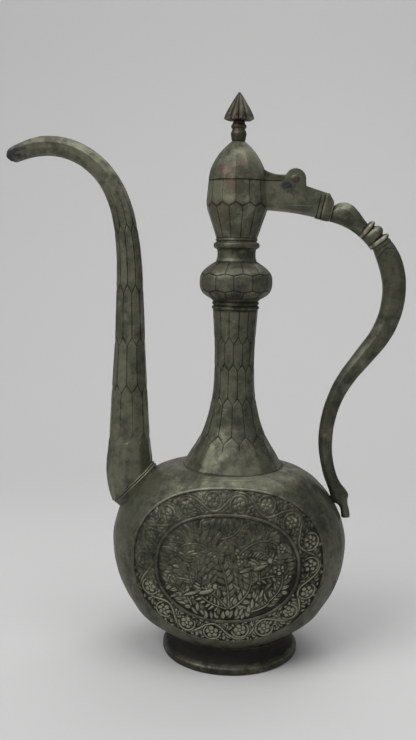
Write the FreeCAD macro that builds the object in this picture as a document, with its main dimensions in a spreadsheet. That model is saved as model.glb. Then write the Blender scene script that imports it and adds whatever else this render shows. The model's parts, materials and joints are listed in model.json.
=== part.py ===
import FreeCAD, Part
import math
import os
import types

import Sketcher

# A metal ewer: a flattened hollow body on a ring foot, a many-sided neck with a bulb, a faceted
# mouth cup, a long curved spout, a cast bow handle, and a lid that swings on a pin in the
# handle's ears. Millimetres. The neck's axis is Z, the foot stands on Z = 0, the handle is
# towards +X, the spout towards -X.

SIZES = {
    # foot
    "foot_radius": 46.0,
    "foot_lip_height": 4.4,
    "foot_lip_round": 1.3,
    "foot_waist_radius": 41.2,
    "foot_waist_height": 10.0,
    "foot_seat_radius": 43.4,
    "foot_height": 17.0,
    "foot_bore_radius": 36.5,
    # body
    "body_height": 111.0,
    "body_half_width": 78.3,
    "body_half_depth": 55.0,
    "body_wall": 1.5,
    "shoulder_ledge": 3.0,
    "body_sway": 2.0,
    # medallion rims on both faces
    "rim_height": 0.8,
    "rim_width": 2.2,
    "medallion_side_margin": 15.7,
    "medallion_end_margin": 5.1,
    "medallion_lift": 0.7,
    "border_width": 16.6,
    "border_height": 15.1,
    # neck
    "neck_base_radius": 33.0,
    "neck_waist_radius": 13.4,
    "neck_top_radius": 14.7,
    "neck_height": 103.5,
    "neck_wall": 2.0,
    # lower collar, bulb, upper collar
    "lower_collar_height": 7.8,
    "lower_bead_radius": 15.5,
    "bulb_foot_radius": 17.0,
    "bulb_radius": 23.9,
    "bulb_neck_radius": 13.6,
    "bulb_height": 23.7,
    "bulb_wall": 2.2,
    "upper_collar_height": 15.3,
    "throat_radius": 12.5,
    "throat_bead_radius": 15.1,
    "throat_wall": 2.0,
    # mouth cup
    "cup_foot_radius": 13.4,
    "cup_radius": 20.4,
    "cup_rim_radius": 18.9,
    "cup_height": 36.2,
    "cup_wall": 2.0,
    # lid
    "lid_gap": 0.4,
    "lid_height": 24.5,
    "lid_wall": 1.8,
    "lid_top_radius": 4.5,
    "lid_crown": 3.4,
    "lid_ceiling_margin": 1.0,
    "flange_depth": 4.0,
    "flange_seat": 3.2,
    "flange_wall": 1.5,
    "flange_clearance": 0.8,
    # finial
    "stem_height": 12.9,
    "stem_radius": 5.1,
    "stem_foot_radius": 4.1,
    "stem_waist_radius": 4.2,
    "stem_bead_radius": 4.9,
    "stem_neck_radius": 3.7,
    "peg_radius": 1.6,
    "peg_end": 1.0,
    "tang_length": 6.0,
    "washer_radius": 3.8,
    "washer_thickness": 0.9,
    "bud_height": 17.7,
    "bud_radius": 9.7,
    "bud_lip": 1.7,
    "bud_tip_radius": 0.6,
    # hinge
    "hinge_reach": 36.9,
    "hinge_rise": 1.4,
    "ear_radius": 6.7,
    "ear_root": 2.0,
    "knuckle_radius": 5.2,
    "knuckle_width": 6.0,
    "knuckle_clearance": 0.4,
    "side_clearance": 0.3,
    "pin_radius": 2.2,
    "pin_clearance": 0.06,
    "ear_bore_clearance": 0.02,
    "pin_head_radius": 2.9,
    "pin_head_height": 0.8,
    "tongue_top": 3.0,
    "tongue_flare": 6.8,
    "tongue_flare_height": 11.0,
    # handle
    "arm_width": 13.0,
    "arm_root_depth": 18.0,
    "arm_drop": 0.3,
    "arm_step": 2.8,
    "arm_shoulder_height": 11.8,
    "arm_shoulder_reach": 1.2,
    "arm_collar_height": 17.2,
    "bow_radius": 52.0,
    "bow_reach": 102.2,
    "bow_drop": 68.5,
    "bow_turn": 78.0,
    "baluster_length": 24.0,
    "baluster_radius": 7.3,
    "ring_length": 3.6,
    "upper_ring_radius": 6.7,
    "knop_length": 7.4,
    "knop_radius": 7.0,
    "lower_ring_radius": 7.3,
    "grip_radius": 7.3,
    "grip_straight": 19.8,
    "heel_radius": 67.0,
    "heel_turn": 28.0,
    "terminal_length": 8.0,
    "terminal_radius": 30.0,
    "terminal_turn": 25.0,
    # spout
    "spout_seat_lean": 45.0,
    "spout_seat_offset": 2.9,
    "spout_root": 16.7,
    "spout_collar_half_length": 19.3,
    "spout_collar_half_width": 15.4,
    "spout_collar_depth": 16.0,
    "spout_bore_radius": 10.5,
    "spout_base_radius": 15.4,
    "spout_wall": 1.7,
    "spout_foot_radius": 115.0,
    "spout_foot_turn": 15.0,
    "spout_stem_length": 121.7,
    "spout_sway_radius": 200.0,
    "spout_sway_turn": 12.0,
    "spout_bend_radius": 73.0,
    "spout_bend_turn": 19.0,
    "spout_hook_radius": 48.0,
    "spout_hook_turn": 79.0,
    "spout_beak_run": 10.4,
    "beak_length": 22.6,
    # how far cutting tools reach past what they cut
    "overrun": 2.0,
}

ROUND_SIDES = 30
STEM_SIDES = 16
BODY_SIDES = 36
RIM_SIDES = 28
NECK_SIDES = 14
BULB_SIDES = 12
CUP_SIDES = 14
SPOUT_SIDES = 10
SPOUT_COLLAR_SIDES = 24
GRIP_SIDES = 8
BUD_PETALS = 10

# (height, half width, half depth) of the body's cross-sections, as shares of its own sizes
BODY_SECTION_SHARES = (
    (0.068, 0.731, 0.873),
    (0.171, 0.853, 0.927),
    (0.297, 0.945, 0.975),
    (0.390, 0.983, 0.992),
    (0.477, 1.000, 1.000),
    (0.568, 1.003, 0.997),
    (0.658, 0.976, 0.982),
    (0.730, 0.942, 0.955),
    (0.793, 0.894, 0.920),
    (0.883, 0.792, 0.847),
    (0.946, 0.685, 0.775),
    (0.982, 0.575, 0.700),
)
# how full the medallion's ovals are: 1 for an ellipse, less for a fuller one
RIM_FULLNESS_SHARE = 0.89
# (height, flare) of the neck's skirt and of its widening top
NECK_SKIRT_SHARES = (
    (0.000, 1.000),
    (0.080, 0.771),
    (0.159, 0.522),
    (0.239, 0.333),
    (0.318, 0.201),
    (0.396, 0.107),
    (0.473, 0.038),
    (0.589, 0.000),
)
NECK_TOP_SHARES = ((0.744, 0.000), (0.899, 0.555), (1.000, 1.000))
# heights of the collars' beads and of the throat between bulb and cup
LOWER_BEAD_SHARES = (0.12, 0.80)
THROAT_SHARES = (0.20, 0.44)
UPPER_BEAD_SHARE = 0.90
# where a bead's crown starts and ends between its feet
BEAD_CROWN_SHARES = (0.28, 0.72)
# heights where the bulb's heel ends and its crown starts, and the hollow's thicker sides
BULB_TIER_SHARES = (0.22, 0.66)
BULB_SIDE_SHARE = 1.3
CUP_BELLY_SHARE = 0.58
# (height, radius between top and rim) of the lid's dome
LID_SECTION_SHARES = (
    (0.000, 1.000),
    (0.140, 0.968),
    (0.278, 0.910),
    (0.386, 0.835),
    (0.486, 0.745),
    (0.590, 0.640),
    (0.690, 0.525),
    (0.792, 0.375),
    (0.894, 0.210),
    (1.000, 0.000),
)
# heights of the finial stem's belly, waist and bead
STEM_LEVEL_SHARES = (0.38, 0.58, 0.64, 0.82)
BUD_FOOT_SHARE = 0.90
BUD_VALLEY_SHARE = 0.87
PIN_CROWN_SHARE = 0.55
# where the lid's bracket starts inside the lid, and the arm inside the cup
ROOT_SHARE = 0.50
# the spout's seat and the handle's foot, as shares of the body's half width and height
SPOUT_SEAT_SHARES = (0.8633, 0.8775)
TERMINAL_SHARES = (0.976, 0.697)
# (distance along the curve, radius) of the spout
SPOUT_STATION_SHARES = (
    (0.000, 0.840),
    (0.050, 0.985),
    (0.105, 1.000),
    (0.145, 0.925),
    (0.255, 0.790),
    (0.365, 0.675),
    (0.475, 0.600),
    (0.586, 0.525),
    (0.672, 0.478),
    (0.749, 0.440),
    (0.830, 0.415),
    (0.900, 0.405),
    (0.955, 0.400),
    (1.000, 0.370),
)
# (distance back from the tip, rise above the spout's curve) of the beak's open edge
BEAK_EDGE_SHARES = ((1.00, 0.43), (0.61, 0.29), (0.20, 0.27), (0.00, 0.04))
SPOUT_STEPS = 2
# (distance along the piece, radius) of the handle's cast pieces
BALUSTER_STATION_SHARES = (
    (0.00, 0.70),
    (0.12, 0.87),
    (0.38, 1.00),
    (0.62, 0.87),
    (0.82, 0.73),
    (1.00, 0.65),
)
RING_STATION_SHARES = ((0.00, 0.86), (0.28, 1.00), (0.72, 1.00), (1.00, 0.86))
KNOP_STATION_SHARES = ((0.00, 0.80), (0.28, 0.96), (0.50, 1.00), (0.72, 0.96), (1.00, 0.80))
GRIP_STATION_SHARES = (
    (0.000, 0.85),
    (0.045, 0.99),
    (0.165, 1.00),
    (0.270, 0.94),
    (0.390, 0.84),
    (0.490, 0.74),
    (0.600, 0.66),
    (0.710, 0.63),
    (0.830, 0.57),
    (0.885, 0.60),
    (0.918, 0.76),
    (0.932, 0.77),
    (0.942, 0.57),
    (1.000, 0.38),
)
GRIP_STEPS = 2
CAST_STEPS = 1
# how the bow's two opposite bends share their radii
SWING_SHARE = 0.42
# how far an arc stands off its chord, as a share of the chord
QUARTER_ROUND_SHARE = math.tan(math.pi / 8) / 2
SOFT_SWELL_SHARE = 0.09
FAINT_SWELL_SHARE = 0.03
# two points nearer than this are one, and a corner this near a plane lies in it
TOUCH = 1e-6


class Dim:
    """A length or angle that keeps both its value and the expression it comes from."""

    def __init__(self, value, text):
        self.value = value
        self.text = text

    def __add__(self, other):
        return combine(self, "+", as_dim(other), lambda a, b: a + b)

    def __sub__(self, other):
        return combine(self, "-", as_dim(other), lambda a, b: a - b)

    def __mul__(self, other):
        return combine(self, "*", as_dim(other), lambda a, b: a * b)

    def __truediv__(self, other):
        return combine(self, "/", as_dim(other), lambda a, b: a / b)

    def __neg__(self):
        return Dim(-self.value, f"(-1 * {self.text})")


def as_dim(number):
    if isinstance(number, Dim):
        return number
    return Dim(float(number), repr(float(number)))


def combine(first, sign, second, rule):
    return Dim(rule(first.value, second.value), f"({first.text} {sign} {second.text})")


def root(dim):
    return Dim(math.sqrt(dim.value), f"sqrt({dim.text})")


doc = FreeCAD.newDocument("Ewer")
sheet = doc.addObject("Spreadsheet::Sheet", "Sizes")
for row, (alias, number) in enumerate(SIZES.items(), start=1):
    sheet.set(f"A{row}", alias)
    sheet.set(f"B{row}", str(number))
    sheet.setAlias(f"B{row}", alias)
doc.recompute()
s = types.SimpleNamespace()
for alias in SIZES:
    setattr(s, alias, Dim(float(sheet.get(alias)), f"Sizes.{alias}"))

ZERO = as_dim(0)
body_base = s.foot_height
neck_base = body_base + s.body_height
neck_top = neck_base + s.neck_height
bulb_base = neck_top + s.lower_collar_height
bulb_top = bulb_base + s.bulb_height
cup_base = bulb_top + s.upper_collar_height
cup_rim = cup_base + s.cup_height
lid_base = cup_rim + s.lid_gap
lid_top = lid_base + s.lid_height
bud_base = lid_top + s.stem_height
bud_top = bud_base + s.bud_height
hinge_height = cup_rim + s.hinge_rise
bow_level = cup_rim - s.bow_drop
seat_x = -(s.body_half_width * SPOUT_SEAT_SHARES[0])
seat_z = body_base + s.body_height * SPOUT_SEAT_SHARES[1]

pieces = {}


def bind(target, **properties):
    """Tie properties such as Radius or Height to the sheet."""
    for name, dim in properties.items():
        target.setExpression(name, as_dim(dim).text)
    return target


def place(target, x=ZERO, y=ZERO, z=ZERO, axis=None, angle=0.0):
    """Stand an object at a point worked out from the sheet, turned about one axis."""
    spin = FreeCAD.Rotation(FreeCAD.Vector(*axis), angle) if axis else FreeCAD.Rotation()
    target.Placement = FreeCAD.Placement(FreeCAD.Vector(x.value, y.value, z.value), spin)
    for letter, dim in (("x", x), ("y", y), ("z", z)):
        target.setExpression(f"Placement.Base.{letter}", dim.text)
    return target


def keep(label, piece):
    """Name a finished piece."""
    piece.Label = label
    pieces[label] = piece
    return piece


def shape_of(kind, name, **links):
    made = doc.addObject(kind, name)
    for key, link in links.items():
        setattr(made, key, link)
    return made


def cut(name, base, *tools):
    for number, tool in enumerate(tools):
        base = shape_of("Part::Cut", f"{name}_cut_{number}", Base=base, Tool=tool)
    return base


def fuse(name, *shapes):
    return shape_of("Part::MultiFuse", f"{name}_fuse", Shapes=list(shapes))


def common(name, *shapes):
    return shape_of("Part::MultiCommon", f"{name}_common", Shapes=list(shapes))


def cylinder(name, radius, height):
    return bind(doc.addObject("Part::Cylinder", name), Radius=radius, Height=height)


def cross_cylinder(name, radius, width):
    """A cylinder along Y on the hinge axis, centred on the middle plane."""
    made = cylinder(name, radius, width)
    return place(made, s.hinge_reach, width / 2, hinge_height, (1, 0, 0), 90)


def block(name, length, width, height):
    return bind(doc.addObject("Part::Box", name), Length=length, Width=width, Height=height)


def flats(radius, sides):
    """How far a polygon's flats lie from its axis where its mean radius is the given one."""
    return radius * ((1 + math.cos(math.pi / sides)) / 2)


def polygon(name, sides, apothem, height, turn_share):
    """A regular polygon with flats at the given distance from the axis."""
    made = doc.addObject("Part::RegularPolygon", name)
    made.Polygon = sides
    bind(made, Circumradius=apothem / math.cos(math.pi / sides))
    return place(made, z=height, axis=(0, 0, 1), angle=turn_share * 360.0 / sides)


def outline(name, spots):
    """A closed flat outline through points in its own XY plane."""
    corners = [FreeCAD.Vector(x, y, 0) for x, y in spots]
    made = doc.addObject("Part::Feature", name)
    made.Shape = Part.makePolygon(corners + corners[:1])
    return made


def oval(name, half_width, half_height, sides, power=1.0):
    """An oval outline; a power below 1 fills it out between its ends."""
    spots = []
    for number in range(sides):
        angle = 2 * math.pi * number / sides
        across, up = [math.copysign(abs(part) ** power, part) for part in (math.cos(angle), math.sin(angle))]
        spots.append((half_width.value * across, half_height.value * up))
    return outline(name, spots)


def facet(*corners):
    """One flat face, or two where the four corners do not lie in one plane."""
    first, second, third = corners[:3]
    normal = (second - first).cross(third - first).normalize()
    if all(abs((corner - first).dot(normal)) < TOUCH for corner in corners[3:]):
        return [Part.Face(Part.makePolygon([*corners, first]))]
    return facet(first, second, third) + facet(first, third, corners[3])


def faceted(name, sections):
    """A solid of flat facets through a row of sections that all have as many corners."""
    doc.recompute(sections)
    rings = [[vertex.Point for vertex in section.Shape.OrderedVertexes] for section in sections]
    faces = [Part.Face(Part.makePolygon([*ring, ring[0]])) for ring in (rings[0], rings[-1])]
    for low, high in zip(rings, rings[1:]):
        for number in range(len(low)):
            before = number - 1
            faces += facet(low[before], low[number], high[number], high[before])
    solid = Part.Solid(Part.Shell(faces))
    if solid.Volume < 0:
        solid.reverse()
    made = doc.addObject("Part::Feature", f"{name}_facets")
    made.Shape = solid
    return made


def stacked(name, sides, levels, turn_share):
    """A many-sided form about Z through (distance of the flats, height) levels."""
    sections = []
    for number, (apothem, height) in enumerate(levels):
        sections.append(polygon(f"{name}_{number}", sides, apothem, height, turn_share))
    return faceted(name, sections)


def ringed(name, bore_radius, levels):
    """A round piece as many narrow flats: (radius, height) levels outside, a straight bore inside."""
    bore = flats(bore_radius, ROUND_SIDES)
    ends = [(bore, levels[0][1] - s.overrun), (bore, levels[-1][1] + s.overrun)]
    sides = [(flats(radius, ROUND_SIDES), height) for radius, height in levels]
    outside = stacked(f"{name}_outside", ROUND_SIDES, sides, 0.5)
    return cut(name, outside, stacked(f"{name}_bore", ROUND_SIDES, ends, 0.5))


def origin_plane(body, role):
    return next(item for item in body.Origin.OriginFeatures if item.Role == role)


def outline_sketch(body, name, role, points):
    """A closed outline of (x, y, swell) corners; swell bows the run to the next corner."""
    sketch = body.newObject("Sketcher::SketchObject", name)
    sketch.AttachmentSupport = [(origin_plane(body, role), "")]
    sketch.MapMode = "FlatFace"
    corners = [(as_dim(x), as_dim(y), swell) for x, y, swell in points]
    spots = [FreeCAD.Vector(x.value, y.value, 0) for x, y, _ in corners]
    count = len(corners)
    for index, (_, _, swell) in enumerate(corners):
        start, end = spots[index], spots[(index + 1) % count]
        if not swell:
            sketch.addGeometry(Part.LineSegment(start, end), False)
            continue
        run = end - start
        middle = (start + end) * 0.5 + FreeCAD.Vector(run.y, -run.x, 0) * swell
        sketch.addGeometry(Part.Arc(start, middle, end), False)
    for index in range(count):
        following = (index + 1) % count
        end_mark = arc_mark(corners[index], last=True)
        start_mark = arc_mark(corners[following], last=False)
        sketch.addConstraint(Sketcher.Constraint("Coincident", index, end_mark, following, start_mark))
    for index, (x, y, swell) in enumerate(corners):
        mark = arc_mark(corners[index], last=False)
        pin_corner(sketch, "DistanceX", index, mark, x, -2)
        pin_corner(sketch, "DistanceY", index, mark, y, -1)
        if swell:
            far_x, far_y, _ = corners[(index + 1) % count]
            chord = root((far_x - x) * (far_x - x) + (far_y - y) * (far_y - y))
            radius = chord * ((0.25 + swell * swell) / (2 * abs(swell)))
            number = sketch.addConstraint(Sketcher.Constraint("Radius", index, radius.value))
            sketch.setExpression(f"Constraints[{number}]", radius.text)
    return sketch


def arc_mark(corner, last):
    """Which end of a run's geometry meets the corner: arcs are always stored anticlockwise."""
    swell = corner[2]
    forward = not swell or swell > 0
    return 2 if forward == last else 1


def pin_corner(sketch, kind, index, mark, dim, axis):
    if abs(dim.value) < TOUCH:
        sketch.addConstraint(Sketcher.Constraint("PointOnObject", index, mark, axis))
        return
    number = sketch.addConstraint(Sketcher.Constraint(kind, -1, 1, index, mark, dim.value))
    sketch.setExpression(f"Constraints[{number}]", dim.text)


def turned(name, points):
    """A body of revolution about Z from an outline of (radius, height) corners."""
    body = doc.addObject("PartDesign::Body", name)
    corners = [(radius, height, 0) for radius, height in points]
    sketch = outline_sketch(body, f"{name}_outline", "XZ_Plane", corners)
    spin = body.newObject("PartDesign::Revolution", f"{name}_spin")
    spin.Profile = sketch
    spin.ReferenceAxis = (sketch, ["V_Axis"])
    spin.Angle = 360
    body.Tip = spin
    return body


def padded(name, role, points, width):
    """A plate of the given width, centred on the plane of its outline."""
    body = doc.addObject("PartDesign::Body", name)
    sketch = outline_sketch(body, f"{name}_outline", role, points)
    pad = body.newObject("PartDesign::Pad", f"{name}_pad")
    pad.Profile = sketch
    pad.SideType = "Symmetric"
    bind(pad, Length=width)
    body.Tip = pad
    return body


def extrusion(name, profile, direction, length):
    made = shape_of("Part::Extrusion", name, Base=profile, DirMode="Custom", Solid=True)
    made.Dir = FreeCAD.Vector(*direction)
    return bind(made, LengthFwd=length)


def bead(foot_radius, crown_radius, head_radius, low, high):
    """The four corners of a turned bead between two heights."""
    start_share, end_share = BEAD_CROWN_SHARES
    return [
        (foot_radius, low),
        (crown_radius, low + (high - low) * start_share),
        (crown_radius, low + (high - low) * end_share),
        (head_radius, high),
    ]


def walk(start_x, start_z, heading, runs, distance):
    """Point and heading at a distance along straight and curved runs in the XZ plane.

    A run is (length, turn): its turn in degrees is 0 when straight, positive to the left.
    """
    x, z, angle = start_x, start_z, math.radians(heading)
    left = distance
    for number, (length, turn) in enumerate(runs):
        part = left if number == len(runs) - 1 else min(left, length)
        bend = math.radians(turn) / length
        if turn:
            x += (math.sin(angle + bend * part) - math.sin(angle)) / bend
            z -= (math.cos(angle + bend * part) - math.cos(angle)) / bend
            angle += bend * part
        else:
            x += math.cos(angle) * part
            z += math.sin(angle) * part
        left -= part
        if left <= 0:
            break
    return x, z, angle


def arc_run(radius, turn):
    return (radius * math.radians(abs(turn)), turn)


def length_of(runs):
    return sum(length for length, _ in runs)


def fine_shares(table, steps):
    """The table's stations with each interval divided evenly, radii in line between its ends."""
    stations = [table[0]]
    for (near, near_radius), (far, far_radius) in zip(table, table[1:]):
        for step in range(1, steps + 1):
            part = step / steps
            stations.append((near + (far - near) * part, near_radius + (far_radius - near_radius) * part))
    return stations


def station(name, sides, apothem, spot, shift=0.0):
    """A polygon section square to a curve, flats to the sides, shifted off the curve's left."""
    x, z, angle = spot
    ahead = FreeCAD.Vector(math.cos(angle), 0, math.sin(angle))
    left = FreeCAD.Vector(-math.sin(angle), 0, math.cos(angle))
    across = ahead.cross(left)
    made = doc.addObject("Part::RegularPolygon", name)
    made.Polygon = sides
    bind(made, Circumradius=apothem / math.cos(math.pi / sides))
    frame = FreeCAD.Rotation(left, across, ahead, "ZXY")
    flat_turn = FreeCAD.Rotation(FreeCAD.Vector(0, 0, 1), 180.0 / sides)
    made.Placement = FreeCAD.Placement(FreeCAD.Vector(x, 0, z) + left * shift, frame * flat_turn)
    return made


def make_foot():
    lip = s.foot_lip_round
    keep(
        "foot_ring",
        ringed(
            "foot",
            s.foot_bore_radius,
            [
                (s.foot_radius - lip, ZERO),
                (s.foot_radius, lip),
                (s.foot_radius, s.foot_lip_height - lip),
                (s.foot_radius - lip, s.foot_lip_height),
                (s.foot_waist_radius, s.foot_waist_height),
                (s.foot_seat_radius, s.foot_height),
            ],
        ),
    )


def body_form(name, growth, inset):
    """The body's outer form, grown sideways, with its ends moved in."""
    foot = s.foot_seat_radius + growth
    top = s.neck_base_radius + s.shoulder_ledge + growth
    height = s.body_height - inset * 2
    levels = [(ZERO, foot, foot)]
    for height_share, width_share, depth_share in BODY_SECTION_SHARES:
        half_width = s.body_half_width * width_share + growth
        half_depth = s.body_half_depth * depth_share + growth
        levels.append((height * height_share, half_width, half_depth))
    levels.append((height, top, top))
    sections = []
    for number, (level, half_width, half_depth) in enumerate(levels):
        section = oval(f"{name}_{number}", half_width, half_depth, BODY_SIDES)
        sections.append(place(section, -s.body_sway, z=body_base + inset + level))
    return faceted(name, sections)


def seat_frame(target, depth=ZERO):
    """Lay an object on the spout's slanting seat, its Z out along the spout, sunk by a depth."""
    lean = math.radians(s.spout_seat_lean.value)
    x = seat_x + depth * math.sin(lean)
    z = seat_z - depth * math.cos(lean)
    return place(target, x, ZERO, z, (0, 1, 0), -s.spout_seat_lean.value)


def spout_bore(name):
    depth = s.spout_collar_depth * 2
    return seat_frame(cylinder(name, s.spout_bore_radius, depth + s.overrun), depth)


def make_body():
    outer = body_form("body_outer", ZERO, ZERO)
    cavity = body_form("body_cavity", -s.body_wall, s.body_wall)
    neck_hole = cylinder("neck_hole", s.neck_base_radius - s.neck_wall * 2, s.body_wall * 4)
    place(neck_hole, z=neck_base - s.body_wall * 3)
    keep("body_shell", cut("body_shell", outer, cavity, neck_hole, spout_bore("body_spout_bore")))
    return outer


def rim_wire(name, side, half_width, half_height, grown, body_outer):
    """A raised oval wire that follows the body's curved face; side is -1 in front, 1 behind."""
    middle = body_base + s.body_height / 2 + s.medallion_lift
    walls = []
    for edge, inset in (("outside", ZERO), ("inside", s.rim_width)):
        width, height = half_width - inset, half_height - inset
        line = oval(f"{name}_{edge}_oval", width, height, RIM_SIDES, RIM_FULLNESS_SHARE)
        place(line, z=middle, axis=(1, 0, 0), angle=90)
        walls.append(extrusion(f"{name}_{edge}", line, (0, side, 0), s.body_half_depth + s.overrun))
    ring = cut(f"{name}_ring", *walls)
    return cut(name, common(name, grown, ring), body_outer)


def make_rims(body_outer):
    grown = body_form("body_grown", s.rim_height, ZERO)
    half_width = s.body_half_width - s.medallion_side_margin
    half_height = s.body_height / 2 - s.medallion_end_margin
    for face, side in (("front", -1), ("back", 1)):
        outer = rim_wire(f"{face}_outer", side, half_width, half_height, grown, body_outer)
        keep(f"{face}_outer_rim", outer)
        inner_width = half_width - s.border_width
        inner_height = half_height - s.border_height
        inner = rim_wire(f"{face}_inner", side, inner_width, inner_height, grown, body_outer)
        keep(f"{face}_inner_rim", inner)


def neck_form(name, inset):
    skirt = s.neck_base_radius - s.neck_waist_radius
    head = s.neck_top_radius - s.neck_waist_radius
    levels = [(share, s.neck_waist_radius + skirt * flare) for share, flare in NECK_SKIRT_SHARES]
    levels += [(share, s.neck_waist_radius + head * flare) for share, flare in NECK_TOP_SHARES]
    sides = [
        (flats(radius, NECK_SIDES) - inset, neck_base + s.neck_height * share) for share, radius in levels
    ]
    return stacked(name, NECK_SIDES, sides, 0.5)


def make_neck():
    keep("neck_tube", cut("neck", neck_form("neck_outside", ZERO), neck_form("neck_inside", s.neck_wall)))


def make_lower_collar():
    low, high = [neck_top + s.lower_collar_height * share for share in LOWER_BEAD_SHARES]
    keep(
        "lower_collar",
        ringed(
            "lower_collar",
            s.neck_top_radius - s.neck_wall,
            [
                (s.neck_top_radius, neck_top),
                *bead(s.neck_top_radius, s.lower_bead_radius, s.neck_top_radius, low, high),
                (s.bulb_foot_radius, bulb_base),
            ],
        ),
    )


def make_bulb():
    """Three staggered tiers of flats round a hollow."""
    low, high = [bulb_base + s.bulb_height * share for share in BULB_TIER_SHARES]
    side = flats(s.bulb_radius, BULB_SIDES)
    heel_slope = (side - s.bulb_foot_radius) / (low - bulb_base)
    crown_slope = (side - s.bulb_neck_radius) / (bulb_top - high)
    heel_reach = s.bulb_foot_radius + heel_slope * s.bulb_height
    crown_reach = s.bulb_neck_radius + crown_slope * s.bulb_height
    middle = stacked("bulb_middle", BULB_SIDES, [(side, bulb_base), (side, bulb_top)], 0.5)
    heel_levels = [(s.bulb_foot_radius, bulb_base), (heel_reach, bulb_top)]
    heel = stacked("bulb_heel", BULB_SIDES, heel_levels, 0.0)
    crown_levels = [(crown_reach, bulb_base), (s.bulb_neck_radius, bulb_top)]
    crown = stacked("bulb_crown", BULB_SIDES, crown_levels, 0.0)
    inside = s.bulb_radius - s.bulb_wall * BULB_SIDE_SHARE
    foot_bore = s.neck_top_radius - s.neck_wall
    head_bore = s.throat_radius - s.throat_wall
    hollow = stacked(
        "bulb_hollow",
        BULB_SIDES,
        [
            (foot_bore, bulb_base - s.overrun),
            (foot_bore, bulb_base + s.bulb_wall),
            (inside, low),
            (inside, high),
            (head_bore, bulb_top - s.bulb_wall),
            (head_bore, bulb_top + s.overrun),
        ],
        0.5,
    )
    keep("neck_bulb", cut("bulb", common("bulb", middle, heel, crown), hollow))


def make_upper_collar():
    throat_low, throat_high = [bulb_top + s.upper_collar_height * share for share in THROAT_SHARES]
    bead_high = bulb_top + s.upper_collar_height * UPPER_BEAD_SHARE
    keep(
        "upper_collar",
        ringed(
            "upper_collar",
            s.throat_radius - s.throat_wall,
            [
                (s.bulb_neck_radius, bulb_top),
                (s.throat_radius, throat_low),
                *bead(s.throat_radius, s.throat_bead_radius, s.throat_radius, throat_high, bead_high),
                (s.cup_foot_radius, cup_base),
            ],
        ),
    )


def make_cup():
    """The mouth cup; its solid outer form also trims the handle's arm."""
    belly = cup_base + s.cup_height * CUP_BELLY_SHARE
    foot = flats(s.cup_foot_radius, CUP_SIDES)
    side = flats(s.cup_radius, CUP_SIDES)
    rim = flats(s.cup_rim_radius, CUP_SIDES)
    upper_reach = rim + (side - rim) / (1 - CUP_BELLY_SHARE)
    lower_reach = foot + (side - foot) / CUP_BELLY_SHARE
    upper = stacked("cup_upper", CUP_SIDES, [(upper_reach, cup_base), (rim, cup_rim)], 0.0)
    lower = stacked("cup_lower", CUP_SIDES, [(foot, cup_base), (lower_reach, cup_rim)], 0.5)
    outer = common("cup", upper, lower)
    throat = s.throat_radius - s.throat_wall
    mouth = rim - s.cup_wall
    bore = stacked(
        "cup_bore",
        CUP_SIDES,
        [
            (throat, cup_base - s.overrun),
            (throat, cup_base),
            (side - s.cup_wall, belly),
            (mouth, cup_rim),
            (mouth, cup_rim + s.overrun),
        ],
        0.0,
    )
    keep("mouth_cup", cut("mouth_cup", outer, bore))
    return outer


def lid_form(name, rim_radius, top_radius, height):
    span = rim_radius - top_radius
    levels = []
    for height_share, radius_share in LID_SECTION_SHARES:
        apothem = flats(top_radius + span * radius_share, CUP_SIDES)
        levels.append((apothem, lid_base + height * height_share))
    return stacked(name, CUP_SIDES, levels, 0.0)


def make_lid():
    ceiling_radius = s.washer_radius + s.lid_ceiling_margin
    inner_rim = s.cup_rim_radius - s.lid_wall
    outer = lid_form("lid_outer", s.cup_rim_radius, s.lid_top_radius, s.lid_height)
    hollow = lid_form("lid_hollow", inner_rim, ceiling_radius, s.lid_height - s.lid_crown)
    peg_hole = place(cylinder("lid_peg_hole", s.peg_radius, s.lid_height), z=lid_base + s.lid_wall)
    dome = keep("lid_dome", cut("lid_dome", outer, hollow, peg_hole))
    rim = flats(s.cup_rim_radius, CUP_SIDES) - s.cup_wall - s.flange_clearance
    low, high = lid_base - s.flange_depth, lid_base + s.flange_seat
    skirt = stacked("flange_skirt", CUP_SIDES, [(rim, low), (rim, high)], 0.0)
    shoulder = flats(s.cup_rim_radius, CUP_SIDES) - s.lid_wall / 2
    seat = stacked("flange_seat", CUP_SIDES, [(shoulder, lid_base), (shoulder, high)], 0.0)
    bore = rim - s.flange_wall
    hole = stacked("flange_bore", CUP_SIDES, [(bore, low - s.overrun), (bore, high + s.overrun)], 0.0)
    keep("lid_flange", cut("lid_flange", fuse("flange", skirt, seat), hole, dome))
    return outer


def make_finial():
    washer_base = lid_top - s.lid_crown - s.washer_thickness
    keep(
        "finial_washer",
        turned(
            "washer",
            [
                (s.peg_radius, washer_base),
                (s.washer_radius, washer_base),
                (s.washer_radius, washer_base + s.washer_thickness),
                (s.peg_radius, washer_base + s.washer_thickness),
            ],
        ),
    )
    belly, waist, bead_low, bead_high = [lid_top + s.stem_height * share for share in STEM_LEVEL_SHARES]
    levels = [
        (s.stem_foot_radius, lid_top),
        (s.stem_radius, belly),
        (s.stem_waist_radius, waist),
        *bead(s.stem_waist_radius, s.stem_bead_radius, s.stem_waist_radius, bead_low, bead_high),
        (s.stem_neck_radius, bud_base),
    ]
    sides = [(flats(radius, STEM_SIDES), height) for radius, height in levels]
    spindle = stacked("spindle", STEM_SIDES, sides, 0.5)
    peg_base = washer_base - s.peg_end
    peg = place(cylinder("peg", s.peg_radius, bud_base + s.tang_length - peg_base), z=peg_base)
    keep("finial_stem", fuse("stem", spindle, peg))
    make_bud()


def petals(name, radius, height):
    """A star outline with one crest for each petal."""
    spots = []
    for number in range(BUD_PETALS * 2):
        reach = radius.value * (BUD_VALLEY_SHARE if number % 2 else 1)
        angle = math.pi * number / BUD_PETALS
        spots.append((reach * math.cos(angle), reach * math.sin(angle)))
    return place(outline(name, spots), z=height)


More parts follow.
